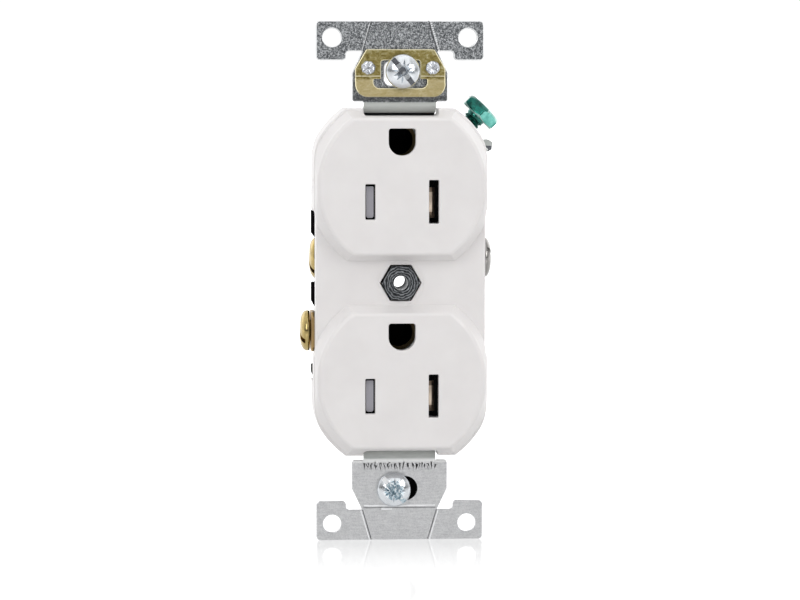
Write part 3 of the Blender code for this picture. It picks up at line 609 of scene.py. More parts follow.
M_COVER = white_nylon()
M_BLACK = plastic("body_thermoplastic", (0.008, 0.008, 0.009), 0.58, 3600, 0.014, 0.25, 0.22)
M_STRAP = galvanised()
M_CLIP = passivated_brass()
M_RIVET = metal("rivet_steel", (0.56, 0.58, 0.62), 0.22, 0.5, 3400, 0.05)
M_POST = turned_steel()
M_ZINC = metal("zinc_plate", (0.72, 0.75, 0.78), 0.17, 0.1, 2600, 0.006)
M_RECESS = metal("recess_shadowed_zinc", (0.20, 0.21, 0.23), 0.24, 0.3, 3000, 0.006)
# whitish zinc on raised burrs and one end of a screw recess: partly fresh-cut metal, partly a painted highlight
M_BURR_AND_HIGHLIGHT = metal("fresh_zinc_burr_and_painted_highlight", (0.93, 0.94, 0.95), 0.34, 0.05, 3000, 0.006)
M_BURR_AND_HIGHLIGHT.node_tree.nodes["Principled BSDF"].inputs["Metallic"].default_value = 0.2
# pale zinc for the upper strap's front bevels: a painted highlight along the edges
M_EDGE_HIGHLIGHT = metal("zinc_edge_painted_highlight", (0.88, 0.89, 0.90), 0.30, 0.08, 3000, 0.006)
M_EDGE_HIGHLIGHT.node_tree.nodes["Principled BSDF"].inputs["Metallic"].default_value = 0.35
# pale brass for the clip's bevels and fold line: a painted highlight
M_CLIP_EDGE_HIGHLIGHT = metal("brass_edge_painted_highlight", (0.93, 0.85, 0.56), 0.30, 0.08, 3000, 0.006)
M_CLIP_EDGE_HIGHLIGHT.node_tree.nodes["Principled BSDF"].inputs["Metallic"].default_value = 0.4
M_SPECK = speckled_zinc()
# bright steel for the post's bore: bare reamed metal, lightened further as painted light in the through-hole
M_BORE = metal("reamed_steel_with_painted_light", (0.78, 0.79, 0.80), 0.36, 0.15, 2600, 0.01, brushed=(1.0, 0.08, 1.0))
M_BORE.node_tree.nodes["Principled BSDF"].inputs["Metallic"].default_value = 0.35
M_MATT = blacked("matt_black_flank", (0.0035, 0.0035, 0.004), 0.8, 0.0)
M_FIBRE = blacked("retainer_fibre", (0.003, 0.003, 0.003), 0.75, 0.05)
M_GREEN = metal("green_screw_finish", (0.006, 0.19, 0.15), 0.14, 0.15, 2400, 0.004, tint=(0.002, 0.07, 0.055))
M_GREEN.node_tree.nodes["Principled BSDF"].inputs["Coat Weight"].default_value = 0.8
M_GREEN.node_tree.nodes["Principled BSDF"].inputs["Coat Roughness"].default_value = 0.08
# paler green for the hex face that catches the light: painted highlight
M_GREEN_LIT_FACE = metal("green_face_painted_highlight", (0.22, 0.60, 0.53), 0.20, 0.35, 1400, 0.02, tint=(0.03, 0.36, 0.30))
M_GREEN_LIT_FACE.node_tree.nodes["Principled BSDF"].inputs["Metallic"].default_value = 0.7
# light green for the head's chamfered rims: painted highlight
M_GREEN_RIM_HIGHLIGHT = metal("green_rim_painted_highlight", (0.38, 0.62, 0.57), 0.24, 0.3, 1800, 0.02)
M_GREEN_RIM_HIGHLIGHT.node_tree.nodes["Principled BSDF"].inputs["Metallic"].default_value = 0.5
M_BRASS = metal("brass_screw_plate", (0.455, 0.35, 0.145), 0.16, 0.16, 2600, 0.006)
M_SILVER = metal("nickel_screw_plate", (0.30, 0.29, 0.28), 0.17, 0.16, 2600, 0.005)
M_CONTACT = metal("rolled_brass", (0.52, 0.36, 0.17), 0.32, 0.15, 2200, 0.006, brushed=(1.0, 1.0, 0.08))
M_TINNED = metal("tinned_brass", (0.66, 0.64, 0.58), 0.34, 0.12, 2200, 0.006, brushed=(1.0, 1.0, 0.08))
# very dark brass that stands in for the shade deep in the holes: painted shade
M_DEEP = metal("brass_painted_deep_shade", (0.15, 0.115, 0.06), 0.42, 0.2, 2200, 0.006)
M_SHUTTER = plastic("shutter_acetal", (0.55, 0.545, 0.60), 0.36, 3200, 0.005, 0.05)
M_LEAF = metal("bronze_leaf", (0.88, 0.71, 0.58), 0.38, 0.2, 2200, 0.006, brushed=(1.0, 1.0, 0.08))
M_SPRING = metal("spring_wire", (0.5, 0.5, 0.52), 0.28, 0.1, 3000, 0.004)
# darker bronze for the leaf's far parts: painted shade inside the slot
M_LEAF_SHADED = metal("bronze_leaf_painted_shade", (0.38, 0.29, 0.22), 0.45, 0.3, 2200, 0.006)
M_BASE = plastic("base_nylon", (0.06, 0.06, 0.065), 0.5, 3000, 0.006, 0.15)
M_GAP = blacked("shadowed_nylon", (0.006, 0.006, 0.007), 0.7, 0.1)


def second(ob, mat, test):
    """A further material on the faces whose centre, in millimetres, passes the test."""
    ob.data.materials.append(mat)
    k = len(ob.data.materials) - 1
    for p in ob.data.polygons:
        if test(p.center / MM, p.normal):
            p.material_index = k
    return ob


# ------------------------------------------------------------------ outlines
def shoulder(radius, hx, hz, k):
    """Arc of a lobe from its straight flank to its flat end; the corner with the flank is eased."""
    hx = min(hx, radius - 0.02)
    soft = min(1.4, (radius - hx) * 0.9)
    a1 = math.acos(min(1.0, (hx + soft) / radius))
    a2 = math.asin(min(1.0, hz / radius))
    out = []
    for i in range(k + 1):
        a = a1 + (a2 - a1) * i / k
        x = radius * math.cos(a)
        h = max(soft - abs(x - hx), 0.0) / soft
        out.append((min(x, hx) - h * h * soft / 4, radius * math.sin(a)))
    return out


def lobe(radius, hx, hz, cz, k=34):
    first = shoulder(radius, hx, hz, k)
    quads = first + [(-x, z) for x, z in reversed(first)]
    quads += [(-x, -z) for x, z in first] + [(x, -z) for x, z in reversed(first)]
    return [(x, z + cz) for x, z in quads]


def long_outline(radius, hx, hz, hx_mid, step_z=10.5, k=34):
    arc = [(x, LOBE_Z + z) for x, z in shoulder(radius, hx, hz, k)]
    right = []
    if abs(hx - hx_mid) > 1e-6:
        n = 6
        for i in range(n + 1):
            t = i / n
            right.append((hx_mid + (hx - hx_mid) * (t * t * (3 - 2 * t)), step_z - 0.8 + 1.6 * t))
    upper = right + arc
    upper += [(-x, z) for x, z in reversed(upper)]
    return upper + [(-x, -z) for x, z in upper]


# ------------------------------------------------------------------ front cover
def make_cover():
    e = 0.42
    rings = []
    for k in range(6):
        a = math.pi / 2 * k / 5
        rings.append((MID_Y + e * (1 - math.cos(a)), e * (1 - math.sin(a))))
    rings += [(COVER_REAR_Y - 0.12, 0.0), (COVER_REAR_Y, 0.12)]
    cover = loft("cover", [[(x, y, z) for x, z in long_outline(LOBE_R - d, LOBE_HX - d, LOBE_HZ - d, MID_HX - d, 14.3)] for y, d in rings])

    parts = []
    for s in (1, -1):
        prof = [(-2.0, 18.6, 17.3, 15.1), (-2.95, 18.52, 17.27, 15.02), (-3.25, 18.42, 17.24, 14.92), (-4.75, 17.58, 17.05, 14.27), (-5.55, 17.13, 16.98, 13.9)]
        for k in range(10):
            a = math.pi / 2 * k / 9
            prof.append((-5.65 - 1.1 * math.sin(a), 16.02 + 1.06 * math.cos(a), 15.98 + 0.98 * math.cos(a), 12.98 + 0.88 * math.cos(a)))
        parts.append(loft(f"lobe{s}", [[(x, y, z) for x, z in lobe(r, hx, hz, s * LOBE_Z)] for y, r, hx, hz in prof]))
    join(cover, *parts)

    parts = []
    for sx, sz in ((-1, 1), (-1, -1), (1, -1)):
        outer = [(x, z) for x, z in long_outline(LOBE_R, LOBE_HX, LOBE_HZ, LOBE_HX) if x > 0 and z > 0]
        inner = [(x, z) for x, z in long_outline(LOBE_R - 1.5, LOBE_HX - 1.5, LOBE_HZ - 1.5, LOBE_HX - 1.5) if x > 0 and z > 0]
        z_low = 14.3 if sz > 0 else 20.3
        pts = [(LOBE_HX, z_low)] + outer + [(9.4, outer[-1][1]), (9.4, inner[-1][1])] + list(reversed(inner)) + [(LOBE_HX - 1.5, z_low)]
        parts.append(prism(f"skirt{sx}{sz}", [(sx * x, sz * z) for x, z in pts], 2.4, SKIRT_REAR_Y))
    parts.append(box("skirt_right", LOBE_HX - 1.5, LOBE_HX, 2.4, SKIRT_REAR_Y, 14.3, 20.8))
    join(cover, *parts)

    cut(cover, *[prism(f"deep{s}", lobe(15.8, 15.4, 12.9, s * LOBE_Z, 10), FACE_Y + FACE_T, 0.0) for s in (1, -1)])
    cut(cover, prism("wide", long_outline(17.3, 15.5, 12.95, 15.4, k=10), -1.4, COVER_REAR_Y + 1))
    bosses = [rod("middle", (0, 0, 0), (0, 1, 0), 5.8, -2.2, COVER_REAR_Y - 0.02)]
    for x, z in ASSEMBLY_XZ:
        bosses.append(rod(f"boss{x}", (x, 0, z), (0, 1, 0), 2.2, -5.6, COVER_REAR_Y - 0.02, 24))
    join(cover, *bosses)

    holes = []
    for i, z in enumerate(SLOT_Z):
        for name, x, ln in (("hot", -SLOT_X, HOT_LEN), ("neu", SLOT_X, NEUTRAL_LEN)):
            holes.append(eased_cutter(f"{name}{i}", lambda d, x=x, ln=ln, z=z: rrect(x - SLOT_W / 2, x + SLOT_W / 2, z - ln / 2, z + ln / 2, 0.22, d), FACE_Y, -3.5, 0.16))
        zg = z + GROUND_UP
        holes.append(eased_cutter(f"gnd{i}", lambda d, zg=zg: rrect(-GROUND_R, GROUND_R, zg - GROUND_R, zg + GROUND_R, (2.65, 2.65, 0.55, 0.55), d, 12), FACE_Y, -3.5, 0.2))
    cut(cover, *holes)
    holes = [rod("scoop", (0, 0, 0), (0, 1, 0), SCOOP_R, -9, MID_Y + 0.12, 72)]
    cut(cover, *holes)
    af = (HEX_AF + 0.18) / math.sqrt(3)
    cut(cover, eased_cutter("hexhole", lambda d: circle(0, 0, af + d * 1.15, 6), MID_Y + 0.12, 6, 0.22, 4))
    holes = []
    for s in (1, -1):
        z0, z1 = sorted((s * (33.42 if s > 0 else 33.6), s * 37))
        r = (0.8, 0.8, 0.02, 0.02) if s > 0 else (0.02, 0.02, 0.8, 0.8)
        holes.append(prism(f"neck{s}", rrect(-7.55, 7.55, z0, z1, r), -9, 10))
    for x, z in ASSEMBLY_XZ:
        holes.append(rod(f"pilot{x}", (x, 0, z), (0, 1, 0), 1.5, -3.2, 6, 24))
    cut(cover, *holes)
    # latch notches low on the left flank
    cut(cover, *[box(f"latch{k}", -18.0, -17.2, -0.2, 1.1, z, z + 0.45) for k, z in enumerate((19.0, 20.2))])
    place(cover, "cover_shell", "front_cover", M_COVER, 32)


# ------------------------------------------------------------------ back body
def make_body():
    rings = []
    for k in range(5):
        a = math.pi / 2 * k / 4
        rings.append((BODY_REAR_Y - 0.5 * (1 - math.sin(a)), 0.5 * (1 - math.cos(a))))
    rings = [(BODY_FRONT_Y, 0.0)] + rings
    body = loft("body", [[(x, y, z) for x, z in long_outline(17.2 - d, 15.6 - d, 13.65 - d, 15.6 - d, k=16)] for y, d in rings])
    parts = [prism("slab", rrect(-16.2, 16.2, -19.9, 13.7, 0.5), 15.5, BODY_REAR_Y - 0.35)]
    for s in (1, -1):
        for z0, z1 in ((8.9, 13.7), (-5.1, -1.1), (-19.9, -18.0)):
            x0, x1 = sorted((s * 14.95, s * 17.2))
            parts.append(prism(f"fin{s}{z0}", rrect(x0, x1, z0, z1, 0.25), 3.7, 16.0))
    join(body, *parts)
    cut(body, prism("hollow", long_outline(15.6, 14.0, 12.75, 14.0, k=8), BODY_FRONT_Y - 1, BODY_REAR_Y - 1.8))
    pockets = []
    for s in (1, -1):
        pockets.append(box(f"pocket{s}", *sorted((s * 13.0, s * 14.9)), BODY_FRONT_Y - 1, 14.7, -15.8, 9.6))
        for z0, z1 in ((-1.1, 8.9), (-15.1, -5.1)):
            pockets.append(box(f"window{s}{z0}", *sorted((s * 13.0, s * 19)), BODY_FRONT_Y - 1, 15.5, z0, z1))
    cut(body, *pockets)
    inner = [rod("tube", (0, 0, 0), (0, 1, 0), 6.0, 7.0, BODY_REAR_Y - 0.6, 48)]
    for s in (1, -1):
        inner.append(box(f"rib{s}", *sorted((s * 3.9, s * 4.5)), 8.0, BODY_REAR_Y - 1, -31.8, 31.8))
    for x, z in ASSEMBLY_XZ:
        inner.append(rod(f"boss{x}", (x, 0, z), (0, 1, 0), 2.3, BODY_FRONT_Y, BODY_REAR_Y - 0.6, 24))
    join(body, *inner)
    holes = [eased_cutter("clear", lambda d: circle(0, 0, 5.0, 56, d), BODY_REAR_Y, 6.0, 0.3)]
    cut(body, *holes)
    holes = []
    for x, z in ASSEMBLY_XZ:
        holes.append(rod(f"hole{x}", (x, 0, z), (0, 1, 0), 1.6, 4.0, 24.0, 24))
        holes.append(rod(f"head{x}", (x, 0, z), (0, 1, 0), 2.85, 20.0, 24.0, 36, 0.1))
    for hole in holes:
        cut(body, hole)
    # funnel-mouthed holes for the wires, two for each terminal
    holes = []
    for s in (1, -1):
        for zt in TERM_Z:
            for dz in (3.0, -3.0):
                holes.append(turned(f"wire{s}{zt}{dz}", [(0, 15.0), (1.12, 15.0), (1.12, 21.25), (1.32, 21.7), (1.36, 24.0), (0, 24.0)], (s * 14.75, 0, zt + dz), (0, 1, 0), 28))
    cut(body, *holes)
    # shallow stripping gauge groove and mould ejector witness marks on the rear face
    marks = [prism("gauge", rrect(-6.8, 6.8, -13.2, -11.6, 0.5), BODY_REAR_Y - 0.55, 24)]
    for x, z in ((-9.3, 13.0), (9.3, 13.0), (-9.3, -9.0), (9.3, -9.0), (0.0, 25.5), (0.0, -25.5)):
        marks.append(rod(f"pin{x}{z}", (x, 0, z), (0, 1, 0), 1.5, BODY_REAR_Y - 0.18, 24, 28))
    cut(body, *marks)
    ear = [nt(29.95, 3.5), nt(36, 3.5), nt(36, 17.0), nt(29.95, 17.0)]
    x, z = nt(0, GND_T)
    cut(body, prism("earroom", ear, 4.0, 13.2), rod("tiproom", (x, GND_Y, z), N_AXIS, 2.6, 25.5, 32.0, 32))
    place(body, "rear_body", "back_body", M_BLACK, 32)
    second(body, M_MATT, lambda c, n: abs(c.x) > 15.7 and c.y < 15.9 and n.y < 0.5)


# ------------------------------------------------------------------ strap
S0 = NECK_Z - BEND_R
S1 = S0 + math.pi / 2 * BEND_R
S2 = S1 + LEAF_Y - 2 * BEND_R
S3 = S2 + math.pi / 2 * BEND_R
PLATE_SHIFT = S3 - (NECK_Z + BEND_R)


def fold(x, t, s):
    side = 1.0 if s >= 0 else -1.0
    a = abs(s)
    d = t - STRAP_T / 2
    mid_y = LEAF_Y + STRAP_T / 2
    if a <= S0:
        y, z = mid_y + d, a
    elif a <= S1:
        phi = (a - S0) / BEND_R
        y, z = mid_y - BEND_R + (BEND_R + d) * math.cos(phi), S0 + (BEND_R + d) * math.sin(phi)
    elif a <= S2:
        y, z = mid_y - BEND_R - (a - S1), NECK_Z + d
    elif a <= S3:
        phi = (a - S2) / BEND_R
        y, z = STRAP_T / 2 + BEND_R - (BEND_R - d) * math.sin(phi), NECK_Z + BEND_R - (BEND_R - d) * math.cos(phi)
    else:
        y, z = t, a - PLATE_SHIFT
    return (x, y, side * z)


def arc_pts(cx, cz, r, a0, a1, n=6):
    return [(cx + r * math.cos(math.radians(a0 + (a1 - a0) * k / n)), cz + r * math.sin(math.radians(a0 + (a1 - a0) * k / n))) for k in range(n + 1)]


def ear_side():
    def s(z):
        return z + PLATE_SHIFT
    r = 0.8
    pts = [(NECK_HX, s(36.2))]
    pts += arc_pts(9.65 - 0.45, s(36.2 + 0.45), 0.45, -90, 0, 4)
    pts += [(9.65, s(42.0)), (7.6, s(46.3))]
    pts += arc_pts(10.8 - 0.6, s(46.3 - 0.6), 0.6, 90, 0, 5)
    pts += arc_pts(10.8 + r, s(44.5 + r), r, 180, 270, 6)
    pts += arc_pts(EAR_HX - r, s(44.5 + r), r, -90, 0, 6)
    pts += arc_pts(EAR_HX - r, s(STRAP_HALF - r), r, 0, 90, 6)
    return pts


def wedge(name, p0, p1, width, depth):
    """V groove along a line on the front of the flat pattern."""
    a, b = Vector((p0[0], p0[1])), Vector((p1[0], p1[1]))
    u = (b - a).normalized()
    n = Vector((-u.y, u.x))
    rings = []
    for q in (a, b):
        rings.append([(q.x + n.x * width, -0.3, q.y + n.y * width), (q.x - n.x * width, -0.3, q.y - n.y * width), (q.x, depth, q.y)])
    return loft(name, rings)


def burr(mid, along, half, wide, high):
    """Low ridge on the front of the flat pattern, from half before to half after mid."""
    n = Vector((-along.y, along.x))
    rings = []
    for k, f in ((-1.0, 0.25), (-0.8, 1.0), (0.8, 1.0), (1.0, 0.25)):
        q = mid + along * (half * k)
        rings.append([(q.x + n.x * wide, 0.02, q.y + n.y * wide), (q.x - n.x * wide, 0.02, q.y - n.y * wide),
                      (q.x - n.x * wide * 0.72, -high * f, q.y - n.y * wide * 0.72), (q.x + n.x * wide * 0.72, -high * f, q.y + n.y * wide * 0.72)])
    return loft("burr", rings)


def make_strap():
    top = ear_side()
    right = [(x, -s) for x, s in reversed(top)]
    right += [(NECK_HX, -29.0), (4.2, -28.0), (4.2, -17.4), (6.0, -16.4), (6.0, 10.4), (4.2, 11.4), (4.2, 22.0), (NECK_HX, 23.2)]
    right += top
    outline = right + [(-x, s) for x, s in reversed(right)]
    strap = prism("strap", outline, 0.0, STRAP_T)

    def s_of(z):
        return math.copysign(abs(z) + PLATE_SHIFT, z)
    holes = []
    for sx in (1, -1):
        for sz in (1, -1):
            holes.append(rod(f"ear{sx}{sz}", (sx * EAR_HOLE[0], 0, s_of(sz * EAR_HOLE[1])), (0, 1, 0), EAR_HOLE[2], -2, 4, 48))
        holes.append(rod(f"rivet{sx}", (sx * 6.45, 0, s_of(43.0)), (0, 1, 0), 1.1, -2, 4, 24))
    for sz in (1, -1):
        half, r = STRAP_SLOT[0] / 2, STRAP_SLOT[1] / 2
        zc = s_of(sz * SLOT_CENTRE_Z)
        left, soft = (-3.15, 1.3) if sz > 0 else (-half, r - 0.001)
        holes.append(prism(f"slot{sz}", rrect(left, half, zc - r, zc + r, (soft, r - 0.001, r - 0.001, soft), 0, 16), -2, 4))
    for z in SLOT_Z:
        holes.append(rod(f"pin{z}", (0, 0, z + GROUND_UP), (0, 1, 0), 3.6, -2, 4, 40))
        holes.append(rod(f"grivet{z}", (0, 0, z + GROUND_UP - 6.05), (0, 1, 0), 1.25, -2, 4, 20))
    holes.append(rod("tenon", (0, 0, 0), (0, 1, 0), 2.8, -2, 4, 40))
    cut(strap, *holes)
    bevel(strap, 0.19, 2, 50, clamp=False)

    # snap-off score lines across the ears with the burr that the scoring wheel throws up, a crease line,
    # and the row of V nicks left by the bending tool
    grooves, raised = [], []
    for sz in (1, -1):
        for sx in (1, -1):
            p0, p1 = Vector((sx * 7.5, s_of(sz * 46.25))), Vector((sx * 5.72, s_of(sz * 52.35)))
            grooves.append(wedge(f"score{sx}{sz}", p0, p1 + (p1 - p0) * 0.05, 0.17 if sz < 0 or sx > 0 else 0.12, 0.3 if sz < 0 or sx > 0 else 0.16))
            along = (p1 - p0).normalized()
            across = Vector((-along.y, along.x)) * (-0.36 if sx * sz > 0 else 0.36)
            if sz > 0 and sx > 0:
                for k in range(15):
                    raised.append(burr(p0 + (p1 - p0) * ((k + 0.5) / 15) + across, along, 0.15, 0.19, 0.22))
            elif sz > 0:
                raised.append(burr((p0 + p1) / 2 + across * 0.6, along, (p1 - p0).length / 2 - 0.3, 0.06, 0.05))
            else:
                raised.append(burr((p0 + p1) / 2 + across, along, (p1 - p0).length / 2 - 0.1, 0.13, 0.12))
    grooves.append(wedge("crease_low", (-7.3, s_of(-45.85)), (7.3, s_of(-45.85)), 0.2, 0.2))
    raised.append(burr(Vector((0, s_of(-45.42))), Vector((1, 0)), 7.2, 0.16, 0.14))
    raised.append(burr(Vector((-2.6, s_of(-46.1))), Vector((1, 0)), 1.1, 0.22, 0.2))
    cut(strap, *grooves)
    nicks = []
    for k in range(34):
        x = -7.2 + 14.4 * k / 33 + 0.16 * math.sin(k * 2.9)
        z0 = s_of(-37.45) + 0.20 * math.sin(k * 1.7) + 0.12 * math.sin(k * 4.1)
        w, h, lean = 0.28 + 0.10 * math.sin(k * 2.3), 0.92 + 0.24 * math.sin(k * 3.7 + 1), 0.38 * math.sin(k * 0.9 + 0.4)
        base = [(x - w, -0.3, z0 + h), (x + w, -0.3, z0 + h * 0.9), (x + lean, -0.3, z0 - h)]
        bm = bmesh.new()
        vs = [bm.verts.new(p) for p in base] + [bm.verts.new((x + lean * 0.4, 0.7, z0 + 0.1))]
        for f in ((0, 1, 2), (0, 1, 3), (1, 2, 3), (2, 0, 3)):
            bm.faces.new([vs[i] for i in f])
        nicks.append(add_object(f"nick{k}", bm))
        if k % 2 == 1 and k < 33:
            raised.append(burr(Vector((x + 0.2, z0 + 0.3)), Vector((lean, -h)).normalized(), 0.34, 0.09, 0.12))
    cut(strap, *nicks)
    burrs = reshape(merge("burrs", *raised), lambda p: fold(*p))

    bm = bmesh.new()
    bm.from_mesh(strap.data)
    bmesh.ops.scale(bm, vec=(1 / MM,) * 3, verts=bm.verts)
    steps = 8
    for side in (1, -1):
        for a, b in ((S0, S1), (S2, S3)):
            for k in range(steps + 1):
                s = side * (a + (b - a) * k / steps)
                bmesh.ops.bisect_plane(bm, geom=bm.verts[:] + bm.edges[:] + bm.faces[:], dist=1e-5, plane_co=(0, 0, s), plane_no=(0, 0, 1))
    for v in bm.verts:
        v.co = fold(*v.co)
    bpy.data.objects.remove(strap, do_unlink=True)
    strap = add_object("strap", bm)

    y0, y1 = LEAF_Y, LEAF_Y + STRAP_T
    lug = prism("lug", [(6.5, 23.7), nt(EAR_N[0] + 0.6, 5.8), nt(EAR_N[0] + 0.6, 15.2), (6.5, 33.0)], y0, y1)
    ear = prism("ear", [nt(EAR_N[0], 5.8), nt(EAR_N[1], 5.8), nt(EAR_N[1], 15.2), nt(EAR_N[0], 15.2)], y0, 12.5)
    bevel(ear, 0.16, 3, 40)
    lip = prism("lip", [(16.6, 27.15), (19.25, 27.15), (19.3, 27.9), (18.5, 28.4), (17.0, 28.3), (16.6, 27.9)], 6.0, 10.6)
    foot = prism("foot", [(16.7, 26.3), (18.3, 25.95), (19.1, 26.4), (19.2, 27.3), (16.7, 27.3)], 6.12, 10.48)
    bevel(lip, 0.12, 2, 40)
    x, z = nt(0, GND_T)
    prof = rounded([(0, 31.0), (3.35, 31.0), (3.1, 32.55), (0, 32.55)], {2: 0.35}, 5)
    collar = turned("collar", prof, (x, GND_Y, z), N_AXIS, 40)
    join(strap, lug, ear, lip, foot, collar)
    cut(strap, rod("thread", (x, GND_Y, z), N_AXIS, 2.4, 28, 36, 40))
    strap = merge("strap", strap, burrs)
    place(strap, "yoke_strap", "mounting_strap", M_STRAP, 32)
    # the upper strap's front bevels get the pale edge material: painted highlight
    second(strap, M_EDGE_HIGHLIGHT, lambda c, n: -0.02 < c.y < 0.16 and c.z > 36.3 and 0.3 < abs(n.y) < 0.96)
    # the raised burrs and ridges get the whitish zinc: fresh-cut metal brightened further as a painted highlight
    second(strap, M_BURR_AND_HIGHLIGHT, lambda c, n: c.y < -0.012 and abs(c.z) > 34)
    second(strap, M_RECESS, lambda c, n: c.x > 16.9 and 25.9 < c.z < 27.16 and 6.05 < c.y < 10.5 and n.z < 0.5)


# ------------------------------------------------------------------ clip and rivets
def make_clip():
    half = arc_pts(6.45, 46.3, 0.4, 90, 30, 3)[:1] + [(6.85, 46.62), (7.05, 46.3)]
    half += [(9.0, 42.9), (9.05, 42.3), (9.05, 40.9)]
    half += arc_pts(6.55, 39.7, 2.5, 8, -88, 12)
    outline = half + [(-x, z) for x, z in reversed(half)]
    clip = prism("clip", outline, -0.8, -0.35)
    tall = rrect(-3.85, 4.0, 39.6, 44.5, (0.3, 0.3, 0.5, 0.5))
    wide = rrect(-5.4, 5.4, 38.95, 40.8, (1.2, 1.2, 0.25, 0.25), 0, 8)
    cut(clip, prism("window", tall, -2, 1), prism("wide", wide, -2, 1),
        rod("r1", (6.45, 0, 43.0), (0, 1, 0), 1.1, -2, 1, 24), rod("r2", (-6.45, 0, 43.0), (0, 1, 0), 1.1, -2, 1, 24))
    bevel(clip, 0.17, 2, 50, clamp=False)
    bm = bmesh.new()
    bm.from_mesh(clip.data)
    bmesh.ops.scale(bm, vec=(1 / MM,) * 3, verts=bm.verts)
    bend_z, r = 40.95, 0.5
    for k in range(6):
        z = bend_z + r * (1 - 2 * k / 5)
        bmesh.ops.bisect_plane(bm, geom=bm.verts[:] + bm.edges[:] + bm.faces[:], dist=1e-5, plane_co=(0, 0, z), plane_no=(0, 0, 1))
    slope = math.tan(math.radians(13))
    for v in bm.verts:
        t = (bend_z + r - v.co.z) / (2 * r)
        if t > 0:
            v.co.y -= slope * (r * t * t if t < 1 else (bend_z - v.co.z))
    bpy.data.objects.remove(clip, do_unlink=True)
    clip = place(add_object("clip", bm), "grounding_clip", "ground_clip", M_CLIP, 30)
    # the clip's bevels and the fold line get the pale brass: painted highlight
    second(clip, M_CLIP_EDGE_HIGHLIGHT, lambda c, n: c.y < -0.5 and (0.3 < abs(n.y) < 0.95 or (41.18 < c.z < 41.5 and n.y < -0.9)))

    for side, node in ((-1, "clip_rivet_left"), (1, "clip_rivet_right")):
        prof = [(0, -1.66), (0.5, -1.68), (0.85, -1.75), (1.22, -1.66), (1.4, -1.45), (1.45, -1.25), (1.40, -1.1), (0.8, -1.1), (0.8, 1.57), (1.3, 1.57), (1.3, 1.9), (1.1, 2.1), (0, 2.1)]
        rivet = turned(node, prof, (side * 6.45, 0, 43.0), (0, 1, 0), 48)
        # the head is staked: its rim is crimped into facets
        def crimp(p, side=side):
            if p.y < -1.05:
                dx, dz = p.x - side * 6.45, p.z - 43.0
                r = math.hypot(dx, dz)
                if r > 0.2:
                    a = math.atan2(dz, dx)
                    edge = min(1, r / 1.2)
                    k = 1 + 0.03 * math.cos(7 * a + side) * edge
                    lift = 0.11 * math.cos(6 * a + 0.6 * side) * edge + 0.10 * noise.noise(Vector((dx, dz, side)) * 2.2)
                    return (side * 6.45 + dx * k, max(p.y + lift, -1.75), 43.0 + dz * k)
            return p
        reshape(rivet, crimp)
        place(rivet, node.replace("clip_rivet", "staked_rivet"), node, M_RIVET, 40, weighted=False)


# ------------------------------------------------------------------ centre post
def make_post():
    ac = (HEX_AF - 0.34) / math.sqrt(3)
    post = rod("post", (0, 0, 0), (0, 1, 0), ac, POST_FRONT_Y, 3.3, 6, 0.0)
    # a turned chamfer takes the hexagon's corners off at the front
    bpy.context.view_layer.update()
    cone = turned("cone", [(0, POST_FRONT_Y - 0.01), (HEX_AF / 2 - 0.02, POST_FRONT_Y - 0.01), (ac + 0.25, POST_FRONT_Y + 0.55), (ac + 0.25, 4.0), (0, 4.0)], (0, 0, 0), (0, 1, 0), 96)
    booleans(post, "INTERSECT", [cone])
    join(post, turned("tenon", [(0, 2.8), (2.5, 2.8), (2.5, 5.2), (3.2, 5.2), (3.3, 5.35), (3.2, 5.7), (0, 5.7)], (0, 0, 0), (0, 1, 0), 48))
    bore = [(0, POST_FRONT_Y - 1), (1.98, POST_FRONT_Y - 1), (1.95, POST_FRONT_Y + 0.001), (1.84, POST_FRONT_Y + 0.06), (POST_HOLE_R + 0.1, POST_FRONT_Y + 0.62)]
    bore += [(POST_HOLE_R + 0.08, h, d * 0.9) for _, h, d in thread_rows(1, 0.14, POST_FRONT_Y + 0.5, 5.5, 0.3, 0.3, 8)]
    bore += [(POST_HOLE_R + 0.1, 6.5), (0, 6.5)]
    cut(post, turned("bore", bore, (0, 0, 0), (0, 1, 0), 40))
    place(post, "hex_post", "center_post", M_POST, 30)
    second(post, M_GAP, lambda c, n: math.hypot(c.x, c.z) > 3.1 and abs(n.y) < 0.4)
    # the bore's wall is lightened: partly bare reamed steel, partly painted light
    second(post, M_BORE, lambda c, n: c.y > POST_FRONT_Y + 0.5 and math.hypot(c.x, c.z) < 1.7 and abs(n.y) < 0.9)


# ------------------------------------------------------------------ screws
def slot_cutter(centre, axis, across, width, depth, length=12.0, taper=0.0):
    axis, across = Vector(axis).normalized(), Vector(across).normalized()
    third = axis.cross(across)
    centre = Vector(centre)
    rings = []
    for h, grow in ((-depth, 0.0), (-0.12, taper), (0.02, taper + 0.08), (2.0, taper + 0.08)):
        rings.append([centre + axis * h + across * (u * (length / 2 + grow)) + third * (v * (width / 2 + grow)) for u, v in ((-1, -1), (1, -1), (1, 1), (-1, 1))])
    return loft("driver_slot", rings)


def cross_cutter(centre, axis, across, span, width, depth):
    """One blade of a tapering cross recess."""
    axis, across = Vector(axis).normalized(), Vector(across).normalized()
    third = axis.cross(across)
    centre = Vector(centre)
    rings = []
    for h, k in ((-depth, 0.30), (0.0, 1.0), (1.5, 1.15)):
        rings.append([centre + axis * h + across * (u * span / 2 * k) + third * (v * width / 2 * (0.75 + 0.25 * k)) for u, v in ((-1, -1), (1, -1), (1, 1), (-1, 1))])
    return loft("cross", rings)


def slice_at(ob, point, normal, offsets):
    """Extra edges where planes across a direction cross the surface."""
    bm = bmesh.new()
    bm.from_mesh(ob.data)
    for d in offsets:
        bmesh.ops.bisect_plane(bm, geom=bm.verts[:] + bm.edges[:] + bm.faces[:], dist=1e-7, plane_co=(Vector(point) + Vector(normal) * d) * MM, plane_no=normal)
    bm.to_mesh(ob.data)
    bm.free()
    return ob


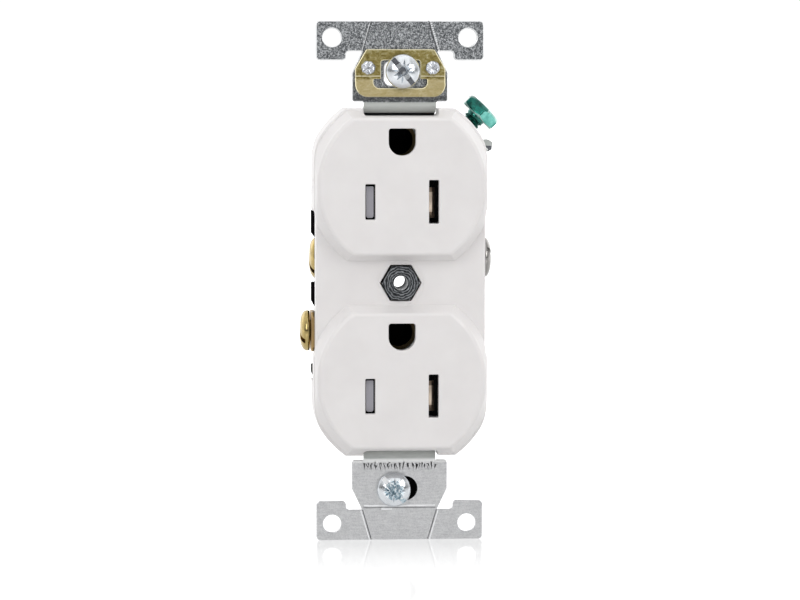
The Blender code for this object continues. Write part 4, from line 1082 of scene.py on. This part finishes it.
def make_box_screws():
    for node, (x, z), under, across in (("mounting_screw_top", TOP_SCREW, -1.9, (1, 0, -1.25)), ("mounting_screw_bottom", BOTTOM_SCREW, -0.3, (1, 0, -1.1))):
        tip = under + SCREW_LEN
        r = SCREW_HEAD_R
        dome = [(q, under - 2.2 + 4.9 - math.sqrt(4.9 * 4.9 - q * q)) for q in (0.4, 0.8, 1.2, 1.6, 2.0, 2.4, 2.75, 3.05, 3.28)]
        head = [(0, under - 2.2)] + dome + [(r - 0.05, under - 0.72), (r, under - 0.5), (r, under - 0.14), (r - 0.12, under), (SCREW_R + 0.2, under), (SCREW_R, under + 0.2)]
        shank = thread_rows(SCREW_R, 0.34, under + 0.25, tip - 0.9, 0.8, 0.5)
        end = [(SCREW_R - 0.3, tip - 0.5), (1.05, tip - 0.06), (0.9, tip), (0, tip)]
        screw = turned(node, head + shank + end, (x, 0, z), (0, 1, 0), 40)
        face = (x, under - 2.2, z)
        u = Vector(across).normalized()
        v = Vector((0, -1, 0)).cross(u)
        cut(screw, slot_cutter(face, (0, -1, 0), u, 1.0, 1.25))
        cut(screw, cross_cutter(face, (0, -1, 0), u, 3.2, 1.15, 1.95), cross_cutter(face, (0, -1, 0), v, 3.2, 1.15, 1.95))
        slice_at(screw, (x, 0, z), u, (-1.8, -0.55, 0.55, 1.8))
        # the driver's tooth marks round the recess
        ticks = []
        turn = math.atan2(u.z, u.x)
        for k in range(12):
            a = turn + math.tau * (k + 0.5) / 12
            d = Vector((math.cos(a), 0, math.sin(a)))
            side = Vector((-d.z, 0, d.x))
            c0 = Vector((x, 0, z))
            reach = 2.45 if k % 3 == 1 else 2.1
            rings = []
            for q, w in ((0.9, 0.12), (1.55, 0.26), (reach, 0.05)):
                top = under - 2.2 + 4.9 - math.sqrt(4.9 * 4.9 - q * q)
                m = c0 + d * q
                rings.append([m + side * w + Vector((0, top - 0.1, 0)), m - side * w + Vector((0, top - 0.1, 0)), m + Vector((0, top + w * 1.3, 0))])
            ticks.append(loft(f"tick{k}", rings))
        cut(screw, *ticks)
        place(screw, node.replace("mounting_screw", "box_screw"), node, M_ZINC, 38)
        upper = node.endswith("top")

        def sunk(c, x=x, z=z, under=under):
            q = math.hypot(c.x - x, c.z - z)
            return q < 3.38 and c.y < under - 0.02 and c.y > under - 2.2 + 4.9 - math.sqrt(max(0.0, 4.9 * 4.9 - q * q)) + 0.1

        def in_recess(c, n, x=x, z=z):
            q = math.hypot(c.x - x, c.z - z)
            return sunk(c) and ((q > 1.8 and (n.y < -0.5 or n.z > 0.3)) or q < 0.35)
        if upper:
            second(screw, M_RECESS, in_recess)
        else:
            second(screw, M_SPECK, lambda c, n, x=x, z=z: sunk(c) or (math.hypot(c.x - x, c.z - z) < 1.9 and c.y < -1.9))
            # one end of the recess gets the whitish zinc: partly fresh metal, partly a painted highlight
            second(screw, M_BURR_AND_HIGHLIGHT, lambda c, n, x=x, z=z, u=u: sunk(c) and (Vector(c) - Vector((x, 0, z))).dot(u) < -1.8)
    x, z = BOTTOM_SCREW
    ret = prism("retainer", rrect(x - 5.2, x + 5.2, z - 4.0, z + 4.0, 1.0, 0, 8), STRAP_T + 0.33, STRAP_T + 1.2)
    bevel(ret, 0.12, 2, 50)
    cut(ret, rod("hole", (x, 0, z), (0, 1, 0), SCREW_R + 0.25, -1, 5, 40))
    place(ret, "fibre_retainer", "screw_retainer", M_FIBRE, 35)


def make_ground_screw():
    x, z = nt(0, GND_T)
    c = (x, GND_Y, z)
    n0, n1 = GND_HEAD_N, GND_HEAD_N + GND_HEAD_T
    ac = GND_AF / math.sqrt(3)
    turn = math.radians(30)
    head = turned("head", [(0, n0), (ac, n0), (ac, n1), (0, n1)], c, N_AXIS, 6, turn)
    cone = turned("cone", [(0, n0 - 0.01), (ac - 0.75, n0 - 0.01), (ac + 0.1, n0 + 0.5), (ac + 0.1, n1 - 1.0), (ac - 0.75, n1 - 0.22), (ac - 1.2, n1 + 0.01), (0, n1 + 0.01)], c, N_AXIS, 80)
    booleans(head, "INTERSECT", [cone])
    bevel(head, 0.2, 3, 25, clamp=False)
    rows = [(0, n0 - 7.7), (1.25, n0 - 7.7), (1.45, n0 - 7.55), (1.7, n0 - 7.1)]
    rows += thread_rows(TERM_SHANK_R, 0.40, n0 - 7.0, n0 - 0.25, 0.6, 0.6)
    rows += [(TERM_SHANK_R, n0 - 0.2), (TERM_SHANK_R, n0 + 0.8), (0, n0 + 0.8)]
    join(head, turned("shank", rows, c, N_AXIS, 40))
    outer = Vector(c) + N_AXIS * n1
    cut(head, slot_cutter(outer, N_AXIS, (-1, 0, 1), 1.0, 1.0))
    place(head, "green_hex_screw", "ground_screw", M_GREEN, 35)
    down = Vector((1, 0, -1)).normalized()
    # one hex face gets the paler green: painted highlight of the light it catches
    second(head, M_GREEN_LIT_FACE, lambda c, n: c.dot(N_AXIS) > n0 and n.y < -0.3 and 0.3 < n.dot(down) < 0.75 and abs(n.dot(N_AXIS)) < 0.25)

    # the chamfered rims get the light green: painted highlight
    def rim(c, n):
        h, off = c.dot(N_AXIS), c - Vector((x, GND_Y, z))
        off -= N_AXIS * off.dot(N_AXIS)
        return h > n0 - 0.05 and 0.25 < abs(n.dot(N_AXIS)) < 0.93 and off.length > 3.0 and (h < (n0 + n1) / 2 or off.dot(down) > 0.6)
    second(head, M_GREEN_RIM_HIGHLIGHT, rim)


# ------------------------------------------------------------------ terminals
def make_terminals():
    for side, pole, mat, plate_mat in ((-1, "hot", M_BRASS, M_CONTACT), (1, "neutral", M_SILVER, M_TINNED)):
        for level, z in zip(("upper", "lower"), TERM_Z):
            key = f"{pole}_{level}"
            out = BACKED_OUT[key]
            axis = (side, 0, 0)
            c = (0, TERM_Y, z)
            u = HEAD_X + out
            rows = [(0, u - 7.7), (1.25, u - 7.7), (1.45, u - 7.55), (1.7, u - 7.1)]
            rows += thread_rows(TERM_SHANK_R, 0.40, u - 7.0, u - 0.3, 0.6, 0.6)
            rows += [(TERM_SHANK_R, u - 0.2), (2.6, u + 0.12), (3.2, u + 0.16), (3.7, u + 0.04), (3.98, u), (4.1, u + 0.1), (TERM_HEAD_R, u + 0.3), (TERM_HEAD_R, u + 0.62),
                     (4.02, u + 0.98), (3.72, u + 1.3), (3.2, u + 1.6), (2.5, u + 1.82), (1.6, u + 1.93), (0.8, u + 1.95), (0, u + TERM_HEAD_T)]
            screw = turned(key, rows, c, axis, 48)
            lean = {"hot_upper": (0, 1, 0.9), "hot_lower": (0, 1, 0.55), "neutral_upper": (0, 1, -0.5), "neutral_lower": (0, 1, 1.6)}[key]
            cut(screw, slot_cutter((side * (u + TERM_HEAD_T), TERM_Y, z), axis, lean, 1.05, 1.0))
            place(screw, f"binding_screw_{key}", f"terminal_screw_{key}", mat, 38)
            p0, p1 = sorted((side * (PLATE_X + out), side * (PLATE_X + out + PLATE_T)))
            half, ch = 4.0, 0.9
            pts = [(TERM_Y - half + ch, z - half), (TERM_Y + half - ch, z - half), (TERM_Y + half, z - half + ch), (TERM_Y + half, z + half - ch),
                   (TERM_Y + half - ch, z + half), (TERM_Y - half + ch, z + half), (TERM_Y - half, z + half - ch), (TERM_Y - half, z - half + ch)]
            plate = prism("plate", pts, p0, p1, "X")
            bevel(plate, 0.12, 3, 40)
            cut(plate, rod("hole", (0, TERM_Y, z), (1, 0, 0), TERM_SHANK_R + 0.3, p0 - 1, p1 + 1, 40))
            # wire grooves and bite serrations on the plate's inner face
            inner = p0 if side > 0 else p1
            bm = bmesh.new()
            for dz in (-3.0, 3.0):
                for k in range(6):
                    yk = TERM_Y - 3.0 + 1.2 * k
                    tri = [(inner - side * 0.2, yk - 0.22), (inner - side * 0.2, yk + 0.22), (inner + side * 0.14, yk)]
                    a = [bm.verts.new((px, py, z + dz - 0.75)) for px, py in tri]
                    b = [bm.verts.new((px, py, z + dz + 0.75)) for px, py in tri]
                    bm.faces.new(a)
                    bm.faces.new(b)
                    for i in range(3):
                        j = (i + 1) % 3
                        bm.faces.new((a[i], a[j], b[j], b[i]))
            cut(plate, add_object("bite", bm))
            place(plate, f"clamp_plate_{key}", f"pressure_plate_{key}", plate_mat, 35)


# ------------------------------------------------------------------ contacts
def make_contacts():
    for side, name, half, mat in ((-1, "hot_contact_strip", HOT_LEN / 2, M_CONTACT), (1, "neutral_contact_strip", NEUTRAL_LEN / 2, M_TINNED)):
        lo, hi = sorted((side * STRIP_X, side * (STRIP_X - 0.9)))
        yb0, yb1 = 13.3, 14.2
        flange = prism("flange", [
            (6.2, -0.7), (8.6, -0.7), (8.6, -5.5), (6.2, -5.5), (6.2, -15.4), (yb1, -15.4), (yb1, -5.5), (11.4, -5.5), (11.4, -0.7),
            (yb1, -0.7), (yb1, 9.2), (6.2, 9.2)], lo, hi, "X")
        parts = []
        for i, zc in enumerate(SLOT_Z):
            if i == 0:
                z0, z1, a0, a1 = 7.2, zc + half, 5.4, 9.2
            else:
                z0, z1, a0, a1 = zc - half, -13.6, -15.4, -11.8
            parts.append(box(f"arm{i}", *sorted((side * 9.0, side * (STRIP_X - 0.3))), yb0, yb1, a0, a1))
            parts.append(box(f"web{i}", *sorted((side * (SLOT_X - 1.5), side * (SLOT_X + 3.2))), yb0, yb1, z0, z1))
            for k in (-1, 1):
                line = [(1.28, 13.6), (1.2, 11.0), (1.0, 8.0), (0.87, 6.2), (0.85, 5.2), (0.9, 4.4), (1.08, 3.4), (1.3, 2.6)]
                w = 0.225
                pts = [(side * SLOT_X + k * (d + w), y) for d, y in line] + [(side * SLOT_X + k * (d - w), y) for d, y in reversed(line)]
                parts.append(prism(f"finger{i}{k}", pts, zc - half, zc + half, "Z"))
        join(flange, *parts)
        cut(flange, *[turned(f"tap{z}", [(0, min(lo, hi) - 1)] + [(TERM_SHANK_R + 0.3, h, d) for _, h, d in thread_rows(1, 0.18, min(lo, hi) - 0.9, max(lo, hi) + 0.9, 0.1, 0.1, 8)] + [(0, max(lo, hi) + 1)], (0, TERM_Y, z), (1, 0, 0), 32) for z in TERM_Z])
        place(flange, name.replace("_strip", "_spring"), name, mat, 35)

    for tag, zs in (("upper", SLOT_Z[0]), ("lower", SLOT_Z[1])):
        zg = zs + GROUND_UP
        zr = zg - 6.05
        plate = prism("plate", rrect(-3.9, 3.9, zr - 1.7, zg + 3.5, 0.7), 5.2, 5.9)
        fingers = []
        for k in (-1, 1):
            pts = [(3.05, 5.4), (3.55, 5.4), (3.55, 9.5), (3.2, 11.4), (2.8, 12.9), (2.75, 13.5), (2.86, 14.4), (3.1, 15.4), (2.65, 15.4), (2.38, 14.4), (2.25, 13.5), (2.3, 12.9), (2.7, 11.4), (3.05, 9.5)]
            fingers.append(prism(f"finger{k}", [(k * x, y) for x, y in pts], zg - 2.0, zg + 2.0, "Z"))
        cut(plate, rod("pin", (0, 0, zg), (0, 1, 0), 2.95, 4, 8, 48), rod("riv", (0, 0, zr), (0, 1, 0), 1.25, 4, 8, 24))
        join(plate, *fingers)
        # the ground springs get the very dark brass: painted shade deep inside the ground holes
        place(plate, f"ground_spring_{tag}", f"ground_contact_{tag}", M_DEEP, 35)
        prof = [(0, 2.7), (0.9, 2.72), (1.4, 2.8), (1.68, 2.95), (1.75, 3.15), (1.72, 3.33), (0.95, 3.33), (0.95, 6.2), (1.6, 6.2), (1.62, 6.45), (1.4, 6.7), (0.8, 6.75), (0, 6.72)]
        place(turned("r", prof, (0, 0, zr), (0, 1, 0), 40), f"contact_rivet_{tag}", f"ground_rivet_{tag}", M_RIVET, 40)


# ------------------------------------------------------------------ shutters
def make_shutters():
    f, r = -4.65, -1.5
    for tag, zc in (("upper", SLOT_Z[0]), ("lower", SLOT_Z[1])):
        pts = [(-11.6, f + 0.25), (-11.35, f), (-3.2, f), (-2.9, f + 0.16), (-1.6, -2.1), (8.3, -2.1), (8.3, -4.0), (9.0, -4.0), (9.0, r), (-11.6, r)]
        slider = prism("slider", pts, zc - 4.8, zc + 4.8, "Z")
        # a moulded pad fills the hot slot; a deep groove runs round it
        groove = prism("groove", rrect(-7.95 + 0.25, -4.9, zc - 4.6, zc + 4.6, 0.2), -6, f + 0.95)
        pad = prism("pad", rrect(-SLOT_X - 0.74, -SLOT_X + 0.74, zc - 3.25, zc + 3.02, (0.42, 0.42, 0.15, 0.15)), -7, f + 2)
        cut(groove, pad)
        cut(slider, groove)
        cut(slider,
            eased_cutter("hot_window", lambda d: rrect(-10.35, -7.95, zc - 3.9, zc + 3.9, 0.3, d), f, 0, 0.15),
            prism("neutral_window", rrect(2.3, 4.8, zc - 4.5, zc + 4.5, 0.3), -6, 0))
        place(slider, f"shutter_slide_{tag}", f"shutter_{tag}", M_SHUTTER, 32)
        second(slider, M_GAP, lambda c, n, zc=zc: c.x < -4.7 and c.x > -8.0 and c.y < f + 1.1 and (c.y > f + 0.3 or abs(n.y) < 0.5) and abs(c.z - zc) < 4.7)
        n = 28
        rows = []
        for i in range(n + 1):
            z = zc - 4.3 + 8.6 * i / n
            y = -2.4 - 1.1 * math.cos(math.pi * (z - zc) / 8.6)
            low = -2.4 - 0.1 * math.cos(math.pi * (z - zc) / 8.6)
            rows.append([(4.95, y - 0.24, z), (5.02, y - 0.3, z), (6.15, y - 0.3, z), (6.45, y * 0.55 + low * 0.45 - 0.26, z), (6.75, low - 0.25, z), (7.93, low - 0.25, z), (8.0, low - 0.19, z),
                         (8.0, low - 0.05, z), (7.93, low, z), (6.6, low, z), (6.3, y * 0.55 + low * 0.45, z), (6.05, y, z), (5.02, y, z), (4.95, y - 0.06, z)])
        leaf = place(loft("leaf", rows), f"cam_leaf_{tag}", f"shutter_leaf_{tag}", M_LEAF, 35)
        # the leaf's right side and ends get the darker bronze: painted shade inside the slot
        second(leaf, M_LEAF_SHADED, lambda c, n, zc=zc: c.x > 6.5 or abs(c.z - zc + 0.2) > 2.1)
        second(leaf, M_GAP, lambda c, n, zc=zc: c.x > 7.1 or abs(c.z - zc + 0.2) > 3.1)
        base = prism("base", rrect(-13.0, 14.9, zc - 5.1, zc + 5.1, 0.5), -1.2, -0.2)
        join(base, box("stop", -13.0, -12.0, -4.6, -0.7, zc - 4.6, zc + 4.6), box("wall", 13.9, 14.9, -4.6, -0.7, zc - 1.6, zc + 4.6))
        cut(base, prism("w1", rrect(-SLOT_X - 1.7, -SLOT_X + 1.7, zc - 4.7, zc + 4.7, 0.4), -3, 1), prism("w2", rrect(SLOT_X - 1.7, SLOT_X + 1.7, zc - 4.7, zc + 4.7, 0.4), -3, 1))
        place(base, f"shutter_tray_{tag}", f"shutter_base_{tag}", M_BASE, 35)
        wire, coil, turns, per, sides = 0.15, 0.9, 4.5, 24, 8
        x0, x1 = 9.3 + wire, 13.6 - wire
        count = int(turns * per)
        cy, cz = -2.75, zc + 0.5
        rings = []
        for i in range(count + 1):
            a = math.tau * i / per
            radial = Vector((0, math.cos(a), math.sin(a)))
            centre = Vector((x0 + (x1 - x0) * i / count, cy, cz)) + radial * coil
            rings.append([centre + radial * (wire * math.cos(b)) + Vector((1, 0, 0)) * (wire * math.sin(b)) for b in (math.tau * q / sides for q in range(sides))])
        spring = place(loft("spring", rings), f"return_spring_{tag}", f"shutter_spring_{tag}", M_SPRING, 60, weighted=False)
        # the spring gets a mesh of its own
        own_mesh(spring)


def make_assembly_screws():
    for node, (x, z), across in zip(("assembly_screw_upper", "assembly_screw_lower"), ASSEMBLY_XZ, ((1, 0, 0.4), (1, 0, -0.7))):
        rows = [(0, -2.6), (0.3, -2.45), (0.75, -1.9)]
        rows += [(1.2, h, d) for _, h, d in thread_rows(1, 0.26, -1.6, 14.5, 0.9, 1.2, 7)]
        rows += [(1.0, 14.8), (1.0, 20.2), (1.2, 20.3), (2.33, 20.3), (2.45, 20.42), (2.45, 20.95), (2.3, 21.3), (1.9, 21.6), (1.3, 21.76), (0.6, 21.8), (0, 21.8)]
        screw = turned(node, rows, (x, 0, z), (0, 1, 0), 32)
        face = (x, 21.8, z)
        u = Vector(across).normalized()
        v = Vector((0, 1, 0)).cross(u)
        cut(screw, slot_cutter(face, (0, 1, 0), u, 0.62, 0.7, 6.4))
        cut(screw, cross_cutter(face, (0, 1, 0), u, 2.5, 0.75, 1.2), cross_cutter(face, (0, 1, 0), v, 2.5, 0.75, 1.2))
        place(screw, node.replace("assembly", "case"), node, M_ZINC, 38)


# ------------------------------------------------------------------ studio
def aim(ob, target):
    d = Vector(target) - ob.location
    ob.rotation_euler = d.to_track_quat("-Z", "Y").to_euler()


def area(name, loc, target, size, power, colour=(1, 1, 1), size_y=None):
    data = bpy.data.lights.new(name, "AREA")
    data.shape = "RECTANGLE" if size_y else "SQUARE"
    data.size = size
    if size_y:
        data.size_y = size_y
    data.energy = power
    data.color = colour
    ob = bpy.data.objects.new(name, data)
    SCENE.collection.objects.link(ob)
    ob.location = loc
    aim(ob, target)
    return ob


def make_studio():
    # floor: pale, softly glossy, level with the lower ear's edge
    bm = bmesh.new()
    r, n = 6.0, 64
    vs = [bm.verts.new((r * math.cos(math.tau * k / n), r * math.sin(math.tau * k / n), -STRAP_HALF * MM - 0.00005)) for k in range(n)]
    bm.faces.new(vs)
    mesh = bpy.data.meshes.new("studio_floor")
    bm.to_mesh(mesh)
    bm.free()
    floor = bpy.data.objects.new("studio_floor", mesh)
    SCENE.collection.objects.link(floor)
    m = Mat("floor_paint", (0.35, 0.35, 0.35), 0.07, 0.0, 0.5, 1.45)
    m.p.inputs["Emission Color"].default_value = (1, 1, 1, 1)
    path = m.new("ShaderNodeLightPath")
    apron = m.span(m.axis(1), 0.0, 0.24, -0.006, -0.050)
    beyond = m.span(m.axis(1), 0.0, 0.30, 0.0, 0.006)
    seen = m.math("ADD", m.math("ADD", apron, beyond), 0.10)
    glow = m.math("ADD", m.math("MULTIPLY", path.outputs["Is Camera Ray"], seen), m.math("MULTIPLY", path.outputs["Is Glossy Ray"], 0.18))
    m.link(m.math("ADD", glow, 0.36), m.p.inputs["Emission Strength"])
    mesh.materials.append(m.mat)

    world = bpy.data.worlds.new("studio")
    SCENE.world = world
    world.use_nodes = True
    t = world.node_tree
    t.nodes.clear()
    out = t.nodes.new("ShaderNodeOutputWorld")
    bg = t.nodes.new("ShaderNodeBackground")
    seen = t.nodes.new("ShaderNodeBackground")
    seen.inputs["Color"].default_value = (1, 1, 1, 1)
    seen.inputs["Strength"].default_value = 1.05
    path = t.nodes.new("ShaderNodeLightPath")
    mix = t.nodes.new("ShaderNodeMixShader")
    co = t.nodes.new("ShaderNodeTexCoord")
    sep = t.nodes.new("ShaderNodeSeparateXYZ")
    t.links.new(co.outputs["Generated"], sep.inputs[0])

    def ramp(stops, source):
        n = t.nodes.new("ShaderNodeValToRGB")
        e = n.color_ramp.elements
        while len(e) < len(stops):
            e.new(0.5)
        for item, (pos, val) in zip(e, stops):
            item.position = pos
            item.color = (val, val, val, 1)
        t.links.new(source, n.inputs["Fac"])
        return n.outputs["Color"]

    # a white sweep stands behind the outlet, a dark room and a high softbox lie in front of it
    behind = ramp([(0.0, 0.62), (0.25, 0.60), (0.6, 0.5), (1.0, 0.62)], sep.outputs[2])
    front = ramp([(0.0, 0.06), (0.12, 0.08), (0.26, 0.20), (0.45, 0.32), (1.0, 0.42)], sep.outputs[2])
    side = t.nodes.new("ShaderNodeMapRange")
    side.interpolation_type = "SMOOTHSTEP"
    side.inputs["From Min"].default_value = 0.35
    side.inputs["From Max"].default_value = -0.55
    t.links.new(sep.outputs[1], side.inputs["Value"])
    both = t.nodes.new("ShaderNodeMix")
    both.data_type = "RGBA"
    t.links.new(side.outputs["Result"], both.inputs[0])
    t.links.new(behind, both.inputs[6])
    t.links.new(front, both.inputs[7])
    t.links.new(both.outputs[2], bg.inputs["Color"])
    bg.inputs["Strength"].default_value = 2.0
    t.links.new(path.outputs["Is Camera Ray"], mix.inputs[0])
    t.links.new(bg.outputs[0], mix.inputs[1])
    t.links.new(seen.outputs[0], mix.inputs[2])
    t.links.new(mix.outputs[0], out.inputs["Surface"])

    area("key", (-0.42, -0.62, 0.32), (0, 0, 0), 0.40, 1.46)
    area("fill", (0.55, -0.55, 0.26), (0, 0, 0), 0.36, 1.32)
    area("top", (0.12, -0.42, 0.64), (0, 0, 0), 0.6, 0.50)
    area("rear_left", (-0.5, 0.6, 0.35), (0, 0, 0), 0.5, 0.5)
    area("rear_right", (0.5, 0.6, 0.30), (0, 0, 0), 0.5, 0.5)

    cam = bpy.data.cameras.new("camera")
    cam.sensor_width = 36.0
    cam.lens = 3227.5 / 800 * 36.0
    cam.clip_start, cam.clip_end = 0.01, 50
    ob = bpy.data.objects.new("camera", cam)
    SCENE.collection.objects.link(ob)
    az, el, dist = math.radians(-4.2), math.radians(4.5), 0.650
    ob.location = (dist * math.sin(az) * math.cos(el), -dist * math.cos(az) * math.cos(el), dist * math.sin(el))
    look = (Vector((0, 0, 0)) - ob.location).to_track_quat("-Z", "Y")
    f = 3227.5
    off_x, off_y = (400 - 399.75) / f, (300 - 281.86) / f
    turn = Matrix.Rotation(-off_y, 3, "X") @ Matrix.Rotation(-off_x, 3, "Y") @ Matrix.Rotation(math.radians(0.07), 3, "Z")
    ob.rotation_euler = (look.to_matrix() @ turn).to_euler()
    SCENE.camera = ob
    SCENE.view_settings.view_transform = "Standard"
    SCENE.view_settings.look = "None"
    SCENE.view_settings.exposure = 0.0


make_cover()
make_body()
make_strap()
make_clip()
make_post()
make_box_screws()
make_ground_screw()
make_terminals()
make_contacts()
make_shutters()
make_assembly_screws()
make_studio()
